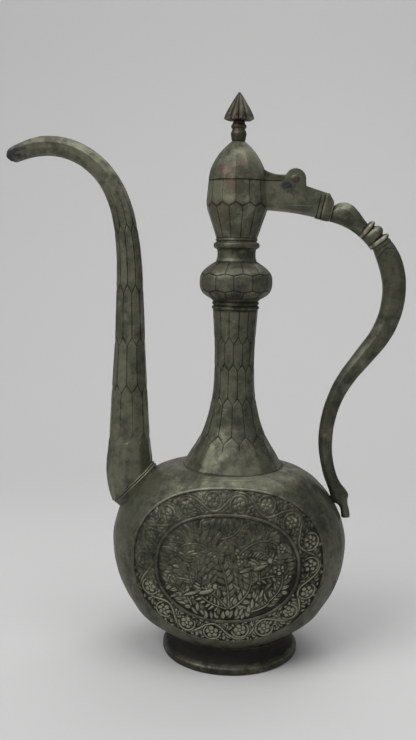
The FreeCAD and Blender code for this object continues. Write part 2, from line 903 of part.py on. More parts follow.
def make_bud():
    sections = [
        petals("bud_foot", s.bud_radius * BUD_FOOT_SHARE, bud_base),
        petals("bud_edge", s.bud_radius, bud_base + s.bud_lip),
        petals("bud_tip", s.bud_tip_radius, bud_top),
    ]
    bore = place(cylinder("bud_bore", s.peg_radius, s.tang_length + s.overrun), z=bud_base - s.overrun)
    keep("finial_bud", cut("bud", faceted("bud", sections), bore))


def make_tongue(lid_outer):
    slot_left = s.hinge_reach - s.ear_radius - s.ear_root
    taper_end = slot_left - s.side_clearance * 2
    start = s.cup_rim_radius * ROOT_SHARE
    half_width = s.knuckle_width / 2
    side = padded(
        "tongue_side",
        "XZ_Plane",
        [
            (start, lid_base, 0),
            (s.hinge_reach, lid_base, 0),
            (s.hinge_reach, hinge_height + s.tongue_top, 0),
            (slot_left, hinge_height + s.tongue_top, -SOFT_SWELL_SHARE),
            (start, lid_base + s.tongue_flare_height, 0),
        ],
        s.tongue_flare * 2,
    )
    plan = padded(
        "tongue_plan",
        "XY_Plane",
        [
            (start, -s.tongue_flare, 0),
            (taper_end, -half_width, 0),
            (s.hinge_reach, -half_width, 0),
            (s.hinge_reach, half_width, 0),
            (taper_end, half_width, 0),
            (start, s.tongue_flare, 0),
        ],
        lid_top * 2,
    )
    knuckle = cross_cylinder("knuckle", s.knuckle_radius, s.knuckle_width)
    bore = cross_cylinder("knuckle_bore", s.pin_radius + s.pin_clearance, s.knuckle_width * 2)
    blank = fuse("tongue", common("tongue", side, plan), knuckle)
    keep("lid_tongue", cut("tongue", blank, bore, lid_outer))


def make_pin():
    head = s.arm_width / 2
    crown = head + s.pin_head_height
    crown_radius = s.pin_head_radius * PIN_CROWN_SHARE
    pin = turned(
        "pin",
        [
            (ZERO, -crown),
            (crown_radius, -crown),
            (s.pin_head_radius, -head),
            (s.pin_radius, -head),
            (s.pin_radius, head),
            (s.pin_head_radius, head),
            (crown_radius, crown),
            (ZERO, crown),
        ],
    )
    keep("hinge_pin", place(pin, s.hinge_reach, ZERO, hinge_height, (1, 0, 0), 90))


def bow_start(radius):
    """The point at the given radius where the arm ends and the bow's first arc starts."""
    angle = math.radians(s.bow_turn.value)
    centre_x = s.bow_reach - s.bow_radius
    return centre_x + radius * math.cos(angle), bow_level + radius * math.sin(angle)


def make_arm(cup_outer):
    """A flat bar from the cup to the bow, with two ears that hold the lid's knuckle between them."""
    underside = s.bow_radius - s.grip_radius
    low_x, low_z = bow_start(underside)
    high_x, high_z = bow_start(underside + s.arm_shoulder_height)
    top = cup_rim - s.arm_drop
    start = s.cup_rim_radius * ROOT_SHARE
    ear_left = s.hinge_reach - s.ear_radius
    ear_right = s.hinge_reach + s.ear_radius
    blank = padded(
        "arm_blank",
        "XZ_Plane",
        [
            (start, cup_rim - s.arm_root_depth, -FAINT_SWELL_SHARE),
            (low_x, low_z, 0),
            (high_x, high_z, SOFT_SWELL_SHARE),
            (low_x - s.arm_shoulder_reach, low_z + s.arm_collar_height, 0),
            (ear_right, top - s.arm_step, 0),
            (ear_right, hinge_height, QUARTER_ROUND_SHARE),
            (s.hinge_reach, hinge_height + s.ear_radius, QUARTER_ROUND_SHARE),
            (ear_left, hinge_height, 0),
            (ear_left - s.ear_root, top, 0),
            (start, top, 0),
        ],
        s.arm_width,
    )
    slot_width = s.knuckle_width + s.side_clearance * 2
    slot_radius = s.knuckle_radius + s.knuckle_clearance
    slot_round = cross_cylinder("slot_round", slot_radius, slot_width)
    slot_top = block("slot_top", s.ear_radius * 4, slot_width, s.ear_radius * 2)
    place(slot_top, s.hinge_reach + slot_radius - s.ear_radius * 4, -(slot_width / 2), hinge_height)
    slot_gate = block("slot_gate", s.ear_radius * 2, slot_width, s.ear_radius)
    place(slot_gate, s.hinge_reach - s.ear_radius * 2, -(slot_width / 2), top)
    bore = cross_cylinder("ear_bore", s.pin_radius + s.ear_bore_clearance, s.arm_width * 2)
    slot = fuse("slot", slot_round, slot_top, slot_gate)
    keep("handle_arm", cut("arm", blank, slot, bore, cup_outer))


def bow_runs():
    """The bow's curve: the first arc down, an S whose bends make it land, the heel on the body."""
    heel = [
        arc_run(s.heel_radius.value, s.heel_turn.value),
        (s.terminal_length.value, 0),
        arc_run(s.terminal_radius.value, -s.terminal_turn.value),
    ]
    heel_x, heel_z, _ = walk(0, 0, -90, heel, length_of(heel))
    foot_x = s.body_half_width.value * TERMINAL_SHARES[0]
    foot_z = (body_base + s.body_height * TERMINAL_SHARES[1]).value
    across = s.bow_reach.value - (foot_x - heel_x)
    down = bow_level.value - (foot_z - heel_z)
    straight = s.grip_straight.value
    least, most = 0, math.pi / 2
    while most - least > TOUCH:
        turn = (least + most) / 2
        reach = (down - straight * math.cos(turn)) * math.tan(turn / 2) + straight * math.sin(turn)
        least, most = (turn, most) if reach < across else (least, turn)
    radii = (down - straight * math.cos(turn)) / math.sin(turn)
    degrees = math.degrees(turn)
    first = arc_run(s.bow_radius.value, -s.bow_turn.value)
    swing = arc_run(radii * SWING_SHARE, -degrees)
    back = arc_run(radii * (1 - SWING_SHARE), degrees)
    return [first, swing, (straight, 0), back, *heel]


def make_bow(body_outer):
    """The cast bow: baluster, ring, knop, ring, and the S-curved grip, end to end on one curve."""
    start_x, start_z = bow_start(s.bow_radius)
    runs = bow_runs()
    knop = s.baluster_length + s.ring_length
    lower_ring = knop + s.knop_length
    grip = lower_ring + s.ring_length
    grip_length = as_dim(length_of(runs)) - grip
    ring = s.ring_length
    plan = (
        ("handle_baluster", ZERO, s.baluster_length, s.baluster_radius, BALUSTER_STATION_SHARES),
        ("handle_upper_ring", s.baluster_length, ring, s.upper_ring_radius, RING_STATION_SHARES),
        ("handle_knop", knop, s.knop_length, s.knop_radius, KNOP_STATION_SHARES),
        ("handle_lower_ring", lower_ring, ring, s.lower_ring_radius, RING_STATION_SHARES),
        ("handle_grip", grip, grip_length, s.grip_radius, GRIP_STATION_SHARES),
    )
    for label, offset, length, radius, shares in plan:
        is_grip = label == "handle_grip"
        sections = []
        for distance_share, radius_share in fine_shares(shares, GRIP_STEPS if is_grip else CAST_STEPS):
            apothem = radius * radius_share
            distance = offset.value + length.value * distance_share
            spot = walk(start_x.value, start_z.value, s.bow_turn.value - 90.0, runs, distance)
            # the cast pieces keep one smooth underside, the grip runs centred on the curve
            shift = 0.0 if is_grip else apothem.value - s.grip_radius.value
            sections.append(station(f"{label}_section", GRIP_SIDES, apothem, spot, shift))
        form = faceted(label, sections)
        keep(label, cut(label, form, body_outer) if is_grip else form)


def make_spout(body_outer):
    edge = oval("collar_oval", s.spout_collar_half_length, s.spout_collar_half_width, SPOUT_COLLAR_SIDES)
    lean = math.radians(s.spout_seat_lean.value)
    inwards = (math.sin(lean), 0, -math.cos(lean))
    collar = extrusion("collar_blank", seat_frame(edge), inwards, s.spout_collar_depth)
    keep("spout_collar", cut("collar", collar, spout_bore("collar_bore"), body_outer))

    heading = math.radians(90.0 + s.spout_foot_turn.value)
    ahead = (math.cos(heading), math.sin(heading))
    sunk = s.spout_root.value
    offset = s.spout_seat_offset.value
    start_x = seat_x.value - ahead[0] * sunk - ahead[1] * offset
    start_z = seat_z.value - ahead[1] * sunk + ahead[0] * offset
    runs = [
        arc_run(s.spout_foot_radius.value, -s.spout_foot_turn.value),
        (s.spout_stem_length.value, 0),
        arc_run(s.spout_sway_radius.value, s.spout_sway_turn.value),
        arc_run(s.spout_bend_radius.value, s.spout_bend_turn.value),
        arc_run(s.spout_hook_radius.value, s.spout_hook_turn.value),
        (s.spout_beak_run.value, 0),
    ]
    total = length_of(runs)

    def spot(distance):
        return walk(start_x, start_z, math.degrees(heading), runs, distance)

    forms = []
    for name, inset, reach in (("spout_outside", ZERO, ZERO), ("spout_channel", s.spout_wall, s.overrun)):
        sections = []
        for distance_share, radius_share in fine_shares(SPOUT_STATION_SHARES, SPOUT_STEPS):
            apothem = s.spout_base_radius * radius_share - inset
            distance = (total + reach.value * 2) * distance_share - reach.value
            sections.append(station(f"{name}_section", SPOUT_SIDES, apothem, spot(distance)))
        forms.append(faceted(name, sections))
    waste_depth = s.spout_root * 2
    waste = seat_frame(cylinder("seat_waste", s.spout_collar_half_length * 2, waste_depth), waste_depth)
    edge_spots = []
    for back_share, rise_share in BEAK_EDGE_SHARES:
        x, z, angle = spot(total - s.beak_length.value * back_share)
        rise = s.spout_base_radius.value * rise_share
        edge_spots.append((x + math.sin(angle) * rise, z - math.cos(angle) * rise))
    keep("spout_tube", cut("spout", *forms, waste, beak_waste(edge_spots)))


def beak_waste(edge_spots):
    """What is cut off above the beak's open edge, from the hood's end down to the lip."""
    clear = s.spout_base_radius.value
    (hood_x, hood_z), (tip_x, tip_z) = edge_spots[0], edge_spots[-1]
    beyond = [(tip_x - clear, tip_z - clear), (tip_x - clear, hood_z + clear), (hood_x, hood_z + clear)]
    profile = outline("beak_edge", edge_spots + beyond)
    place(profile, y=s.spout_base_radius, axis=(1, 0, 0), angle=90)
    return extrusion("beak_waste", profile, (0, -1, 0), s.spout_base_radius * 2)


def check_document():
    """Stop before anything is written if a feature or a finished piece is not sound."""
    doc.recompute()
    for item in doc.Objects:
        if {"Invalid", "Error"} & set(item.State):
            raise RuntimeError(f"{item.Name} failed: {item.State}")
    for label, piece in pieces.items():
        shape = piece.Shape
        if shape.isNull() or not shape.isValid() or shape.Volume <= 0:
            raise RuntimeError(f"{label} has no sound shape")


def main():
    make_foot()
    body_outer = make_body()
    make_rims(body_outer)
    make_neck()
    make_lower_collar()
    make_bulb()
    make_upper_collar()
    cup_outer = make_cup()
    lid_outer = make_lid()
    make_finial()
    make_tongue(lid_outer)
    make_pin()
    make_arm(cup_outer)
    make_bow(body_outer)
    make_spout(body_outer)
    check_document()
    os.makedirs("parts", exist_ok=True)
    for label, piece in pieces.items():
        piece.Shape.exportStep(f"parts/{label}.step")
        box = piece.Shape.BoundBox
        print(
            f"{label}: {len(piece.Shape.Solids)} solid, {piece.Shape.Volume:.0f} mm3, "
            f"x {box.XMin:.1f} to {box.XMax:.1f}, y {box.YMin:.1f} to {box.YMax:.1f}, "
            f"z {box.ZMin:.1f} to {box.ZMax:.1f}"
        )


main()
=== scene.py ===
import json
import math
import random

import bmesh
import bpy
import numpy as np
from bpy.props import FloatProperty, FloatVectorProperty, IntProperty, PointerProperty
from mathutils import Matrix, Vector, noise


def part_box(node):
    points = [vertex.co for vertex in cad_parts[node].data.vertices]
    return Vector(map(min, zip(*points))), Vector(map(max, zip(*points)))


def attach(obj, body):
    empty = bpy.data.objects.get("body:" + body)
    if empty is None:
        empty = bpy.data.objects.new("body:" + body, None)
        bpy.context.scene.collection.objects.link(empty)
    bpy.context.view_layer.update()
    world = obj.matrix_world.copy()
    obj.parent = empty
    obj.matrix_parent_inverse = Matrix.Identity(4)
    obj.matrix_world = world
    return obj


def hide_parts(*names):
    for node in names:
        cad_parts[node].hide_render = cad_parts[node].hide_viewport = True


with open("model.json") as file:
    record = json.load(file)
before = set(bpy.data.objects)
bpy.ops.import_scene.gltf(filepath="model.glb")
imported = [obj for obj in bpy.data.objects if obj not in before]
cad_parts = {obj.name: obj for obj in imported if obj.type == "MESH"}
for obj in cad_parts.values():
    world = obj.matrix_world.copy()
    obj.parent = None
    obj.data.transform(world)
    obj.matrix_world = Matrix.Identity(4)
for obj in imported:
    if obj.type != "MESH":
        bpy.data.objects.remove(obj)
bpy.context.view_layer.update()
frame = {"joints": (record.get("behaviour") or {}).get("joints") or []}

bl_info = {
    "name": "Metal ewer",
    "version": (1, 0, 0),
    "blender": (4, 5, 0),
    "location": "View3D > Sidebar > Ewer",
    "description": "Builds the pieces, finishes and stage of a chased metal ewer with a hinged lid",
    "category": "Add Mesh",
}

# Shapes are worked out in millimetres, as the maker measures, and turned into metres once.
MM = 0.001
TURN = 2 * math.pi


def corners(node):
    """The lowest and highest corner of a CAD node in millimetres."""
    low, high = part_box(node)
    return low / MM, high / MM


def bottom_and_top(node):
    """The lowest and highest level of a CAD node in millimetres."""
    return [corner.z for corner in corners(node)]


# Levels and reaches that come straight from the frame
FOOT_RADIUS = corners("foot_ring")[1].x
BODY_BASE = corners("body_shell")[0].z
BODY_HALF_DEPTH = corners("body_shell")[1].y
NECK_BASE, NECK_TOP = bottom_and_top("neck_tube")
BULB_BASE, BULB_TOP = bottom_and_top("neck_bulb")
CUP_BASE, CUP_RIM = bottom_and_top("mouth_cup")
LID_BASE, LID_TOP = bottom_and_top("lid_dome")
BUD_BASE, BUD_TOP = bottom_and_top("finial_bud")
BODY_HEIGHT = NECK_BASE - BODY_BASE
ARM_HALF_WIDTH = corners("handle_arm")[1].y
HINGE_X, _, HINGE_Z = (value / MM for value in frame["joints"][0]["pos_m"])

# Sizes given in millimetres, the same as the solids have
FOOT_SEAT_RADIUS = 43.4
FOOT_BORE_RADIUS = 36.5
BODY_HALF_WIDTH = 78.3
BODY_TOP_RADIUS = 36.0
BODY_SWAY = 2.0
BODY_WALL = 1.5
NECK_HOLE_RADIUS = 29.0
MEDALLION_LEVEL = BODY_BASE + BODY_HEIGHT / 2 + 0.7
MEDALLION_HALF_WIDTH = 62.6
MEDALLION_HALF_HEIGHT = 50.4
FIELD_HALF_WIDTH = 46.0
FIELD_HALF_HEIGHT = 35.3
RIM_WIDTH = 2.2
SHOULDER_MARKS = (0.45, 0.95, 2.1)
OVAL_POWER = 0.89
NECK_BASE_RADIUS = 33.0
NECK_WAIST_RADIUS = 13.4
NECK_TOP_RADIUS = 14.7
NECK_BORE = 12.7
BULB_RADIUS = 23.9
BULB_FOOT_RADIUS = 17.0
BULB_NECK_RADIUS = 13.6
THROAT_RADIUS = 12.5
THROAT_BORE = 10.5
CUP_FOOT_RADIUS = 13.4
CUP_RADIUS = 20.4
CUP_RIM_RADIUS = 18.9
CUP_WALL = 2.0
LID_TOP_RADIUS = 4.5
LID_CROWN = 3.4
LID_WALL = 1.8
PEG_RADIUS = 1.6
BUD_RADIUS = 9.7
EAR_RADIUS = 6.7
KNUCKLE_RADIUS = 5.2
KNUCKLE_HALF_WIDTH = 3.0
SLOT_HALF_WIDTH = 3.3
PIN_RADIUS = 2.2
PIN_HEAD_RADIUS = 2.9
BOW_CENTRE_X = 50.2
BOW_RADIUS = 52.0
BOW_LEVEL = CUP_RIM - 68.5
BOW_TURN = math.radians(78.0)
GRIP_RADIUS = 7.3
GRIP_STRAIGHT = 19.8
SWING_SHARE = 0.42
TERMINAL_X = BODY_HALF_WIDTH * 0.976
TERMINAL_Z = BODY_BASE + BODY_HEIGHT * 0.697
SPOUT_BASE_RADIUS = 15.4
SPOUT_WALL = 1.7
SEAT_LEAN = math.radians(45.0)
SEAT_X = -67.6
SEAT_Z = 114.4
CHAMFER = 1.6

# Scales, petals and sides round each piece
NECK_SCALES = 14
BULB_SCALES = 12
CUP_SCALES = 14
SPOUT_SCALES = 10
BUD_PETALS = 10
GRIP_SIDES = 8

# Surface heights: towards 0 a place holds dirt and painted shade, towards 1 it is rubbed bare and carries
# painted highlights
FLAT_HEIGHT = 0.66
PLAIN_HEIGHT = 0.62
SCALE_HEIGHT = 0.77
GROOVE_HEIGHT = 0.05
BORE_HEIGHT = 0.25
CAP_HEIGHT = 0.3

# (height, half width, half depth) of the body's cross-sections, as shares of its own sizes
BODY_SECTION_SHARES = (
    (0.068, 0.731, 0.873), (0.171, 0.853, 0.927), (0.297, 0.945, 0.975), (0.390, 0.983, 0.992),
    (0.477, 1.000, 1.000), (0.568, 1.003, 0.997), (0.658, 0.976, 0.982), (0.730, 0.942, 0.955),
    (0.793, 0.894, 0.920), (0.883, 0.792, 0.847), (0.946, 0.685, 0.775), (0.982, 0.575, 0.700),
)
# (height, flare) of the neck: skirt, waist, widening top
NECK_SKIRT_SHARES = (
    (0.000, 1.000), (0.080, 0.771), (0.159, 0.522), (0.239, 0.333), (0.318, 0.201), (0.396, 0.107),
    (0.473, 0.038), (0.589, 0.000),
)
NECK_TOP_SHARES = ((0.744, 0.000), (0.899, 0.555), (1.000, 1.000))
NECK_TIER_SHARES = (0.195, 0.43, 0.645, 0.815)
# (height, radius between top and rim) of the lid's dome
LID_SECTION_SHARES = (
    (0.000, 1.000), (0.140, 0.968), (0.278, 0.910), (0.386, 0.835), (0.486, 0.745), (0.590, 0.640),
    (0.690, 0.525), (0.792, 0.375), (0.894, 0.210), (1.000, 0.000),
)
# (height, radius) of the finial's cone
BUD_STATION_SHARES = ((0, 1.0), (0.08, 0.96), (0.29, 0.80), (0.613, 0.486), (0.9, 0.18), (1.0, 0.06))
BULB_TIER_SHARES = (0.22, 0.66)
# (height, radius) of the bulb's round form
BULB_ROUND_STATIONS = (
    (0.00, 16.8), (0.06, 19.6), (0.13, 21.7), (0.24, 23.1), (0.46, 23.8), (0.675, 22.9), (0.78, 21.0),
    (0.89, 18.0), (1.00, 13.8),
)
CUP_BELLY_SHARE = 0.58
# (distance along the curve, radius) of the spout
SPOUT_STATION_SHARES = (
    (0.000, 0.840), (0.050, 0.985), (0.105, 1.000), (0.145, 0.925), (0.255, 0.790), (0.365, 0.675),
    (0.475, 0.600), (0.586, 0.525), (0.672, 0.478), (0.749, 0.440), (0.830, 0.415), (0.900, 0.405),
    (0.955, 0.400), (1.000, 0.370),
)
# (height up the wall, distance back from the tip) of the beak's open edge
BEAK_EDGE_SHARES = (
    (0.0, 0.15), (0.08, 0.07), (0.2, 0.02), (0.38, 0.0), (0.55, 0.03), (0.70, 0.09), (0.80, 0.19),
    (0.845, 0.34), (0.875, 0.60), (1.0, 1.0),
)
BEAK_LENGTH = 22.4
SPOUT_TIER_SHARES = (0.163, 0.275, 0.383, 0.500, 0.632)
# (rise from the slanting seat, growth) of the spout's collar
SPOUT_COLLAR_STATIONS = (
    (-14.0, -1.0), (-2.9, -0.4), (-2.5, -0.1), (-2.1, 0.0), (-1.7, -0.1), (-1.5, -0.35), (-1.2, -0.35),
    (-1.0, 0.0), (-0.5, 0.15), (-0.1, 0.0), (0.1, -0.5),
)
# (distance from the bar's end, growth) of the band and block across the handle's bar
BAR_COLLAR_STATIONS = (
    (-9.6, 0.0), (-9.5, 0.05), (-8.8, 0.05), (-8.7, 0.25), (-7.8, 0.3), (-7.0, 0.25), (-6.9, 0.05),
    (-6.2, 0.05), (-6.0, 0.3), (-4.6, 0.42), (-3.6, 0.42), (-2.6, 0.36), (-1.5, 0.3), (-1.0, 0.0),
)
# (distance along the piece, radius) of the bow's segments and of the grip
BALUSTER_STATION_SHARES = (
    (0.00, 0.70), (0.12, 0.87), (0.38, 1.00), (0.62, 0.87), (0.82, 0.73), (1.00, 0.65),
)
RING_STATION_SHARES = ((0.00, 0.84), (0.25, 0.97), (0.50, 1.00), (0.75, 0.97), (1.00, 0.84))
KNOP_STATION_SHARES = ((0.00, 0.80), (0.28, 0.96), (0.50, 1.00), (0.72, 0.96), (1.00, 0.80))
# Name, node, length, radius, stations, softness of the edges and wear of the bow's segments
BOW_SEGMENTS = (
    ("handle_swell", "handle_baluster", 24.0, 7.3, BALUSTER_STATION_SHARES, 0.3, 0.25),
    ("handle_ring_high", "handle_upper_ring", 3.6, 6.7, RING_STATION_SHARES, 0.7, 0.5),
    ("handle_bead", "handle_knop", 7.4, 7.0, KNOP_STATION_SHARES, 0.4, 0.25),
    ("handle_ring_low", "handle_lower_ring", 3.6, 7.3, RING_STATION_SHARES, 0.7, 0.5),
)
GRIP_STATION_SHARES = (
    (0.000, 0.85), (0.045, 0.99), (0.165, 1.00), (0.270, 0.94), (0.390, 0.84), (0.490, 0.74),
    (0.600, 0.66), (0.710, 0.63), (0.830, 0.57), (0.885, 0.60), (0.918, 0.76), (0.932, 0.77),
    (0.942, 0.57), (1.000, 0.38),
)

# Seed of the hand work's stray, so that every run gives the same pieces
STRAY_SEED = 11

# The photograph's frame and the camera fitted to it
PHOTO_HEIGHT = 740
FOCAL_PIXELS = 871.7
CAMERA_SPOT = (27.6, -572.7, 269.4)
CAMERA_YAW = math.radians(4.5)
CAMERA_PITCH = 0.135
CAMERA_ROLL = 0.0145


class EwerSizes(bpy.types.PropertyGroup):
    """Depths and finenesses of the hand work."""

    relief_height: FloatProperty(
        name="Relief height", description="How far the chased leaves stand above their ground",
        default=0.0010, unit="LENGTH")
    ground_depth: FloatProperty(
        name="Ground depth", description="How far the medallion's ground lies below the body",
        default=0.0004, unit="LENGTH")
    groove_depth: FloatProperty(
        name="Groove depth", description="Depth of the grooves between scales",
        default=0.00035, unit="LENGTH")
    groove_width: FloatProperty(
        name="Groove width", description="Half width of the grooves between scales",
        default=0.00032, unit="LENGTH")
    wobble: FloatProperty(
        name="Wobble", description="How far hand work strays from the true form",
        default=0.0003, unit="LENGTH")
    body_cell: FloatProperty(
        name="Body cell", description="Side of the plain body's mesh cells",
        default=0.0033, unit="LENGTH")
    relief_cuts: IntProperty(
        name="Relief cuts", description="Times each body cell is cut inside the medallions", default=7)
    seed: IntProperty(name="Seed", description="Which foliage is drawn", default=11)


class EwerColours(bpy.types.PropertyGroup):
    """Tones of the metal and of the stage."""

    tin_dark: FloatVectorProperty(
        name="Dark tin", description="Dull grey-olive patina", subtype="COLOR",
        default=(0.046, 0.048, 0.033))
    tin_tone: FloatVectorProperty(
        name="Tin", description="The metal's main tone", subtype="COLOR", default=(0.116, 0.118, 0.080))
    # Rubbed tin is also the colour of painted highlights on the shoulder, the lower chased crests, the wire
    # tops and the foot's lip
    tin_light: FloatVectorProperty(
        name="Rubbed tin", description="Crests that hands have rubbed", subtype="COLOR",
        default=(0.260, 0.258, 0.190))
    # The groove tone is also the colour of painted shade in the foot's waist, beneath overhangs and beside
    # seams
    groove: FloatVectorProperty(
        name="Groove", description="Dirt in grooves and seams", subtype="COLOR",
        default=(0.019, 0.018, 0.014))
    copper: FloatVectorProperty(
        name="Copper", description="Brown copper where the tin has gone", subtype="COLOR",
        default=(0.082, 0.040, 0.027))
    bare_edge: FloatVectorProperty(
        name="Bare edge", description="Pale metal with a blush of copper on worn edges", subtype="COLOR",
        default=(0.36, 0.31, 0.26))
    stain: FloatVectorProperty(
        name="Stain", description="Blue-black stain beneath the hinge pin", subtype="COLOR",
        default=(0.020, 0.020, 0.030))
    floor: FloatVectorProperty(
        name="Floor", description="Pale floor and backdrop", subtype="COLOR", default=(0.520, 0.517, 0.512))


def smooth_curve(stations, at):
    """Values on a smooth curve through (place, value) stations."""
    places, values = np.array(stations, float).T
    step = np.diff(places)
    slope = np.diff(values) / step
    tangent = np.concatenate([slope[:1], np.zeros(len(places) - 2), slope[-1:]])
    tangent[1:-1] = (slope[:-1] * step[1:] + slope[1:] * step[:-1]) / (step[:-1] + step[1:])
    at = np.clip(at, places[0], places[-1])
    index = np.clip(np.searchsorted(places, at, side="right") - 1, 0, len(step) - 1)
    width = step[index]
    part = (at - places[index]) / width
    rest = 1 - part
    return (
        values[index] * rest * rest * (1 + 2 * part)
        + values[index + 1] * part * part * (3 - 2 * part)
        + (tangent[index] * rest - tangent[index + 1] * part) * part * rest * width
    )


def rounded(points, radius, steps=4):
    """An open outline with its inner corners rounded."""
    points = [np.array(point, float) for point in points]
    line = [points[0]]
    for before, corner, after in zip(points, points[1:], points[2:]):
        back, ahead = before - corner, after - corner
        reach = min(radius, 0.45 * np.linalg.norm(back), 0.45 * np.linalg.norm(ahead))
        start = corner + back / np.linalg.norm(back) * reach
        end = corner + ahead / np.linalg.norm(ahead) * reach
        for step in range(steps + 1):
            part = step / steps
            line.append(start * (1 - part) ** 2 + corner * 2 * part * (1 - part) + end * part ** 2)
    line.append(points[-1])
    return np.array(line)


def soft_least(first, second, blend):
    """The smaller of two values, rounded off where they meet."""
    share = unit(0.5 + 0.5 * (second - first) / blend)
    return second + (first - second) * share - blend * share * (1 - share)


def around(count):
    """Even angles round a full turn."""
    return np.arange(count) * TURN / count


def unit(value):
    """A value held between 0 and 1."""
    return np.clip(value, 0, 1)


def ridge(distance, width):
    """1 on a line, falling away smoothly within a width on both sides."""
    return np.exp(-(distance / width) ** 2)


def grid(rows, columns):
    """Shares from 0 to 1 down the rows and angles round the columns of a ring mesh."""
    return np.linspace(0, 1, rows)[:, None], around(columns)[None, :]


def run_lengths(x, y):
    """The distance along a line of points, from its start to each of them."""
    return np.concatenate([[0], np.cumsum(np.hypot(np.diff(x), np.diff(y)))])


def facet_reach(sides):
    """How far out facets lie whose corners and middles straddle a circle of radius 1."""
    return (1 + math.cos(math.pi / sides)) / 2


def edge_angle(offset, sides):
    """The angle from each place in a facet to the facet's nearer edge."""
    return math.pi / sides - np.abs(offset)


def facet_offset(angles, sides, shift):
    """The angle from the middle of the facet that each angle falls in."""
    pitch = TURN / sides
    return (angles / pitch - shift + 0.5) % 1.0 * pitch - pitch / 2


def scale_pattern(turn, level, width, marks, point):
    """Offset in its scale and distance from the nearest groove, for tiers of staggered scales.

    Turn counts scales round the piece, level and the marks between tiers are lengths, width is a
    scale's width at each place and point the height of a scale's pointed end.
    """
    tier = np.zeros(turn.shape, int)
    nearest = np.full(turn.shape, np.inf)
    for number, mark in enumerate(marks):
        wave = np.abs((turn - number % 2 / 2) % 1.0 - 0.5) * 2
        gap = (level - mark - point * (0.5 - wave)) / np.sqrt(1 + (2 * point / width) ** 2)
        nearest = np.minimum(nearest, np.abs(gap))
        tier += gap > 0
    offset = (turn - tier % 2 / 2) % 1.0 - 0.5
    nearest = np.minimum(nearest, (0.5 - np.abs(offset)) * width)
    return offset, nearest


def lathe(profile, columns):
    """Rings round the Z axis from (radius, height) points."""
    angles = around(columns)
    profile = np.asarray(profile, float)
    rings = np.empty((len(profile), columns, 3))
    rings[:, :, 0] = profile[:, :1] * np.cos(angles)
    rings[:, :, 1] = profile[:, :1] * np.sin(angles)
    rings[:, :, 2] = profile[:, 1:]
    return rings


def polar(radius, level, angles):
    """Points from arrays of radius, height and angle."""
    radius, level, angles = np.broadcast_arrays(radius, level, angles)
    return np.stack([radius * np.cos(angles), radius * np.sin(angles), level], axis=-1)


def skin(rings, close_rows=False, caps=(False, False)):
    """Vertices and faces over rows of rings; a cap is a fan to the middle of the end ring."""
    rows, columns = rings.shape[:2]
    verts = rings.reshape(-1, 3)
    grid = np.arange(rows * columns).reshape(rows, columns)
    if close_rows:
        grid = np.vstack([grid, grid[:1]])
    beside = np.roll(grid, -1, axis=1)
    quads = np.stack([grid[:-1], beside[:-1], beside[1:], grid[1:]], axis=-1).reshape(-1, 4)
    faces = quads.tolist()
    for row, wanted in ((0, caps[0]), (rows - 1, caps[1])):
        if not wanted:
            continue
        middle = len(verts)
        verts = np.vstack([verts, rings[row].mean(axis=0)])
        edge = grid[row].tolist()
        pairs = zip(edge, edge[1:] + edge[:1])
        faces += [[middle, b, a] if row == 0 else [middle, a, b] for a, b in pairs]
    return verts, faces


def hand_work(verts, amount):
    """Stray a little from the true form, alike on neighbouring pieces and in every run."""
    broad_pitch, fine_pitch, fine_share = 34.0, 9.0, 0.35
    noise.seed_set(STRAY_SEED)
    moved = np.array(verts, float)
    for index, vert in enumerate(moved):
        spot = Vector(vert)
        broad, fine = noise.noise_vector(spot / broad_pitch), noise.noise_vector(spot / fine_pitch)
        moved[index] += np.array(broad + fine * fine_share) * amount
    return moved


def gather(items, field, width, kind=float):
    """One row of numbers for each vertex or edge of a mesh."""
    values = np.empty(len(items) * width, kind)
    items.foreach_get(field, values)
    return values.reshape(-1, width)


def crest_heights(mesh):
    """How crested (1) or hollow (0) the surface is at each vertex."""
    bend_gain, smoothings = 3.0, 2
    spots = gather(mesh.vertices, "co", 3)
    normals = gather(mesh.vertices, "normal", 3)
    first, second = gather(mesh.edges, "vertices", 2, int).T
    run = spots[second] - spots[first]
    length = np.maximum(np.linalg.norm(run, axis=1), 1e-9)
    bend, ties = np.zeros(len(spots)), np.zeros(len(spots))
    for start, way in ((first, 1), (second, -1)):
        np.add.at(bend, start, -np.einsum("ij,ij->i", run * way, normals[start]) / length)
        np.add.at(ties, start, 1)
    ties = np.maximum(ties, 1)
    bend /= ties
    for _ in range(smoothings):
        total = np.zeros(len(spots))
        np.add.at(total, first, bend[second])
        np.add.at(total, second, bend[first])
        bend = bend * 0.5 + total / ties * 0.5
    return unit(FLAT_HEIGHT + bend * bend_gain)


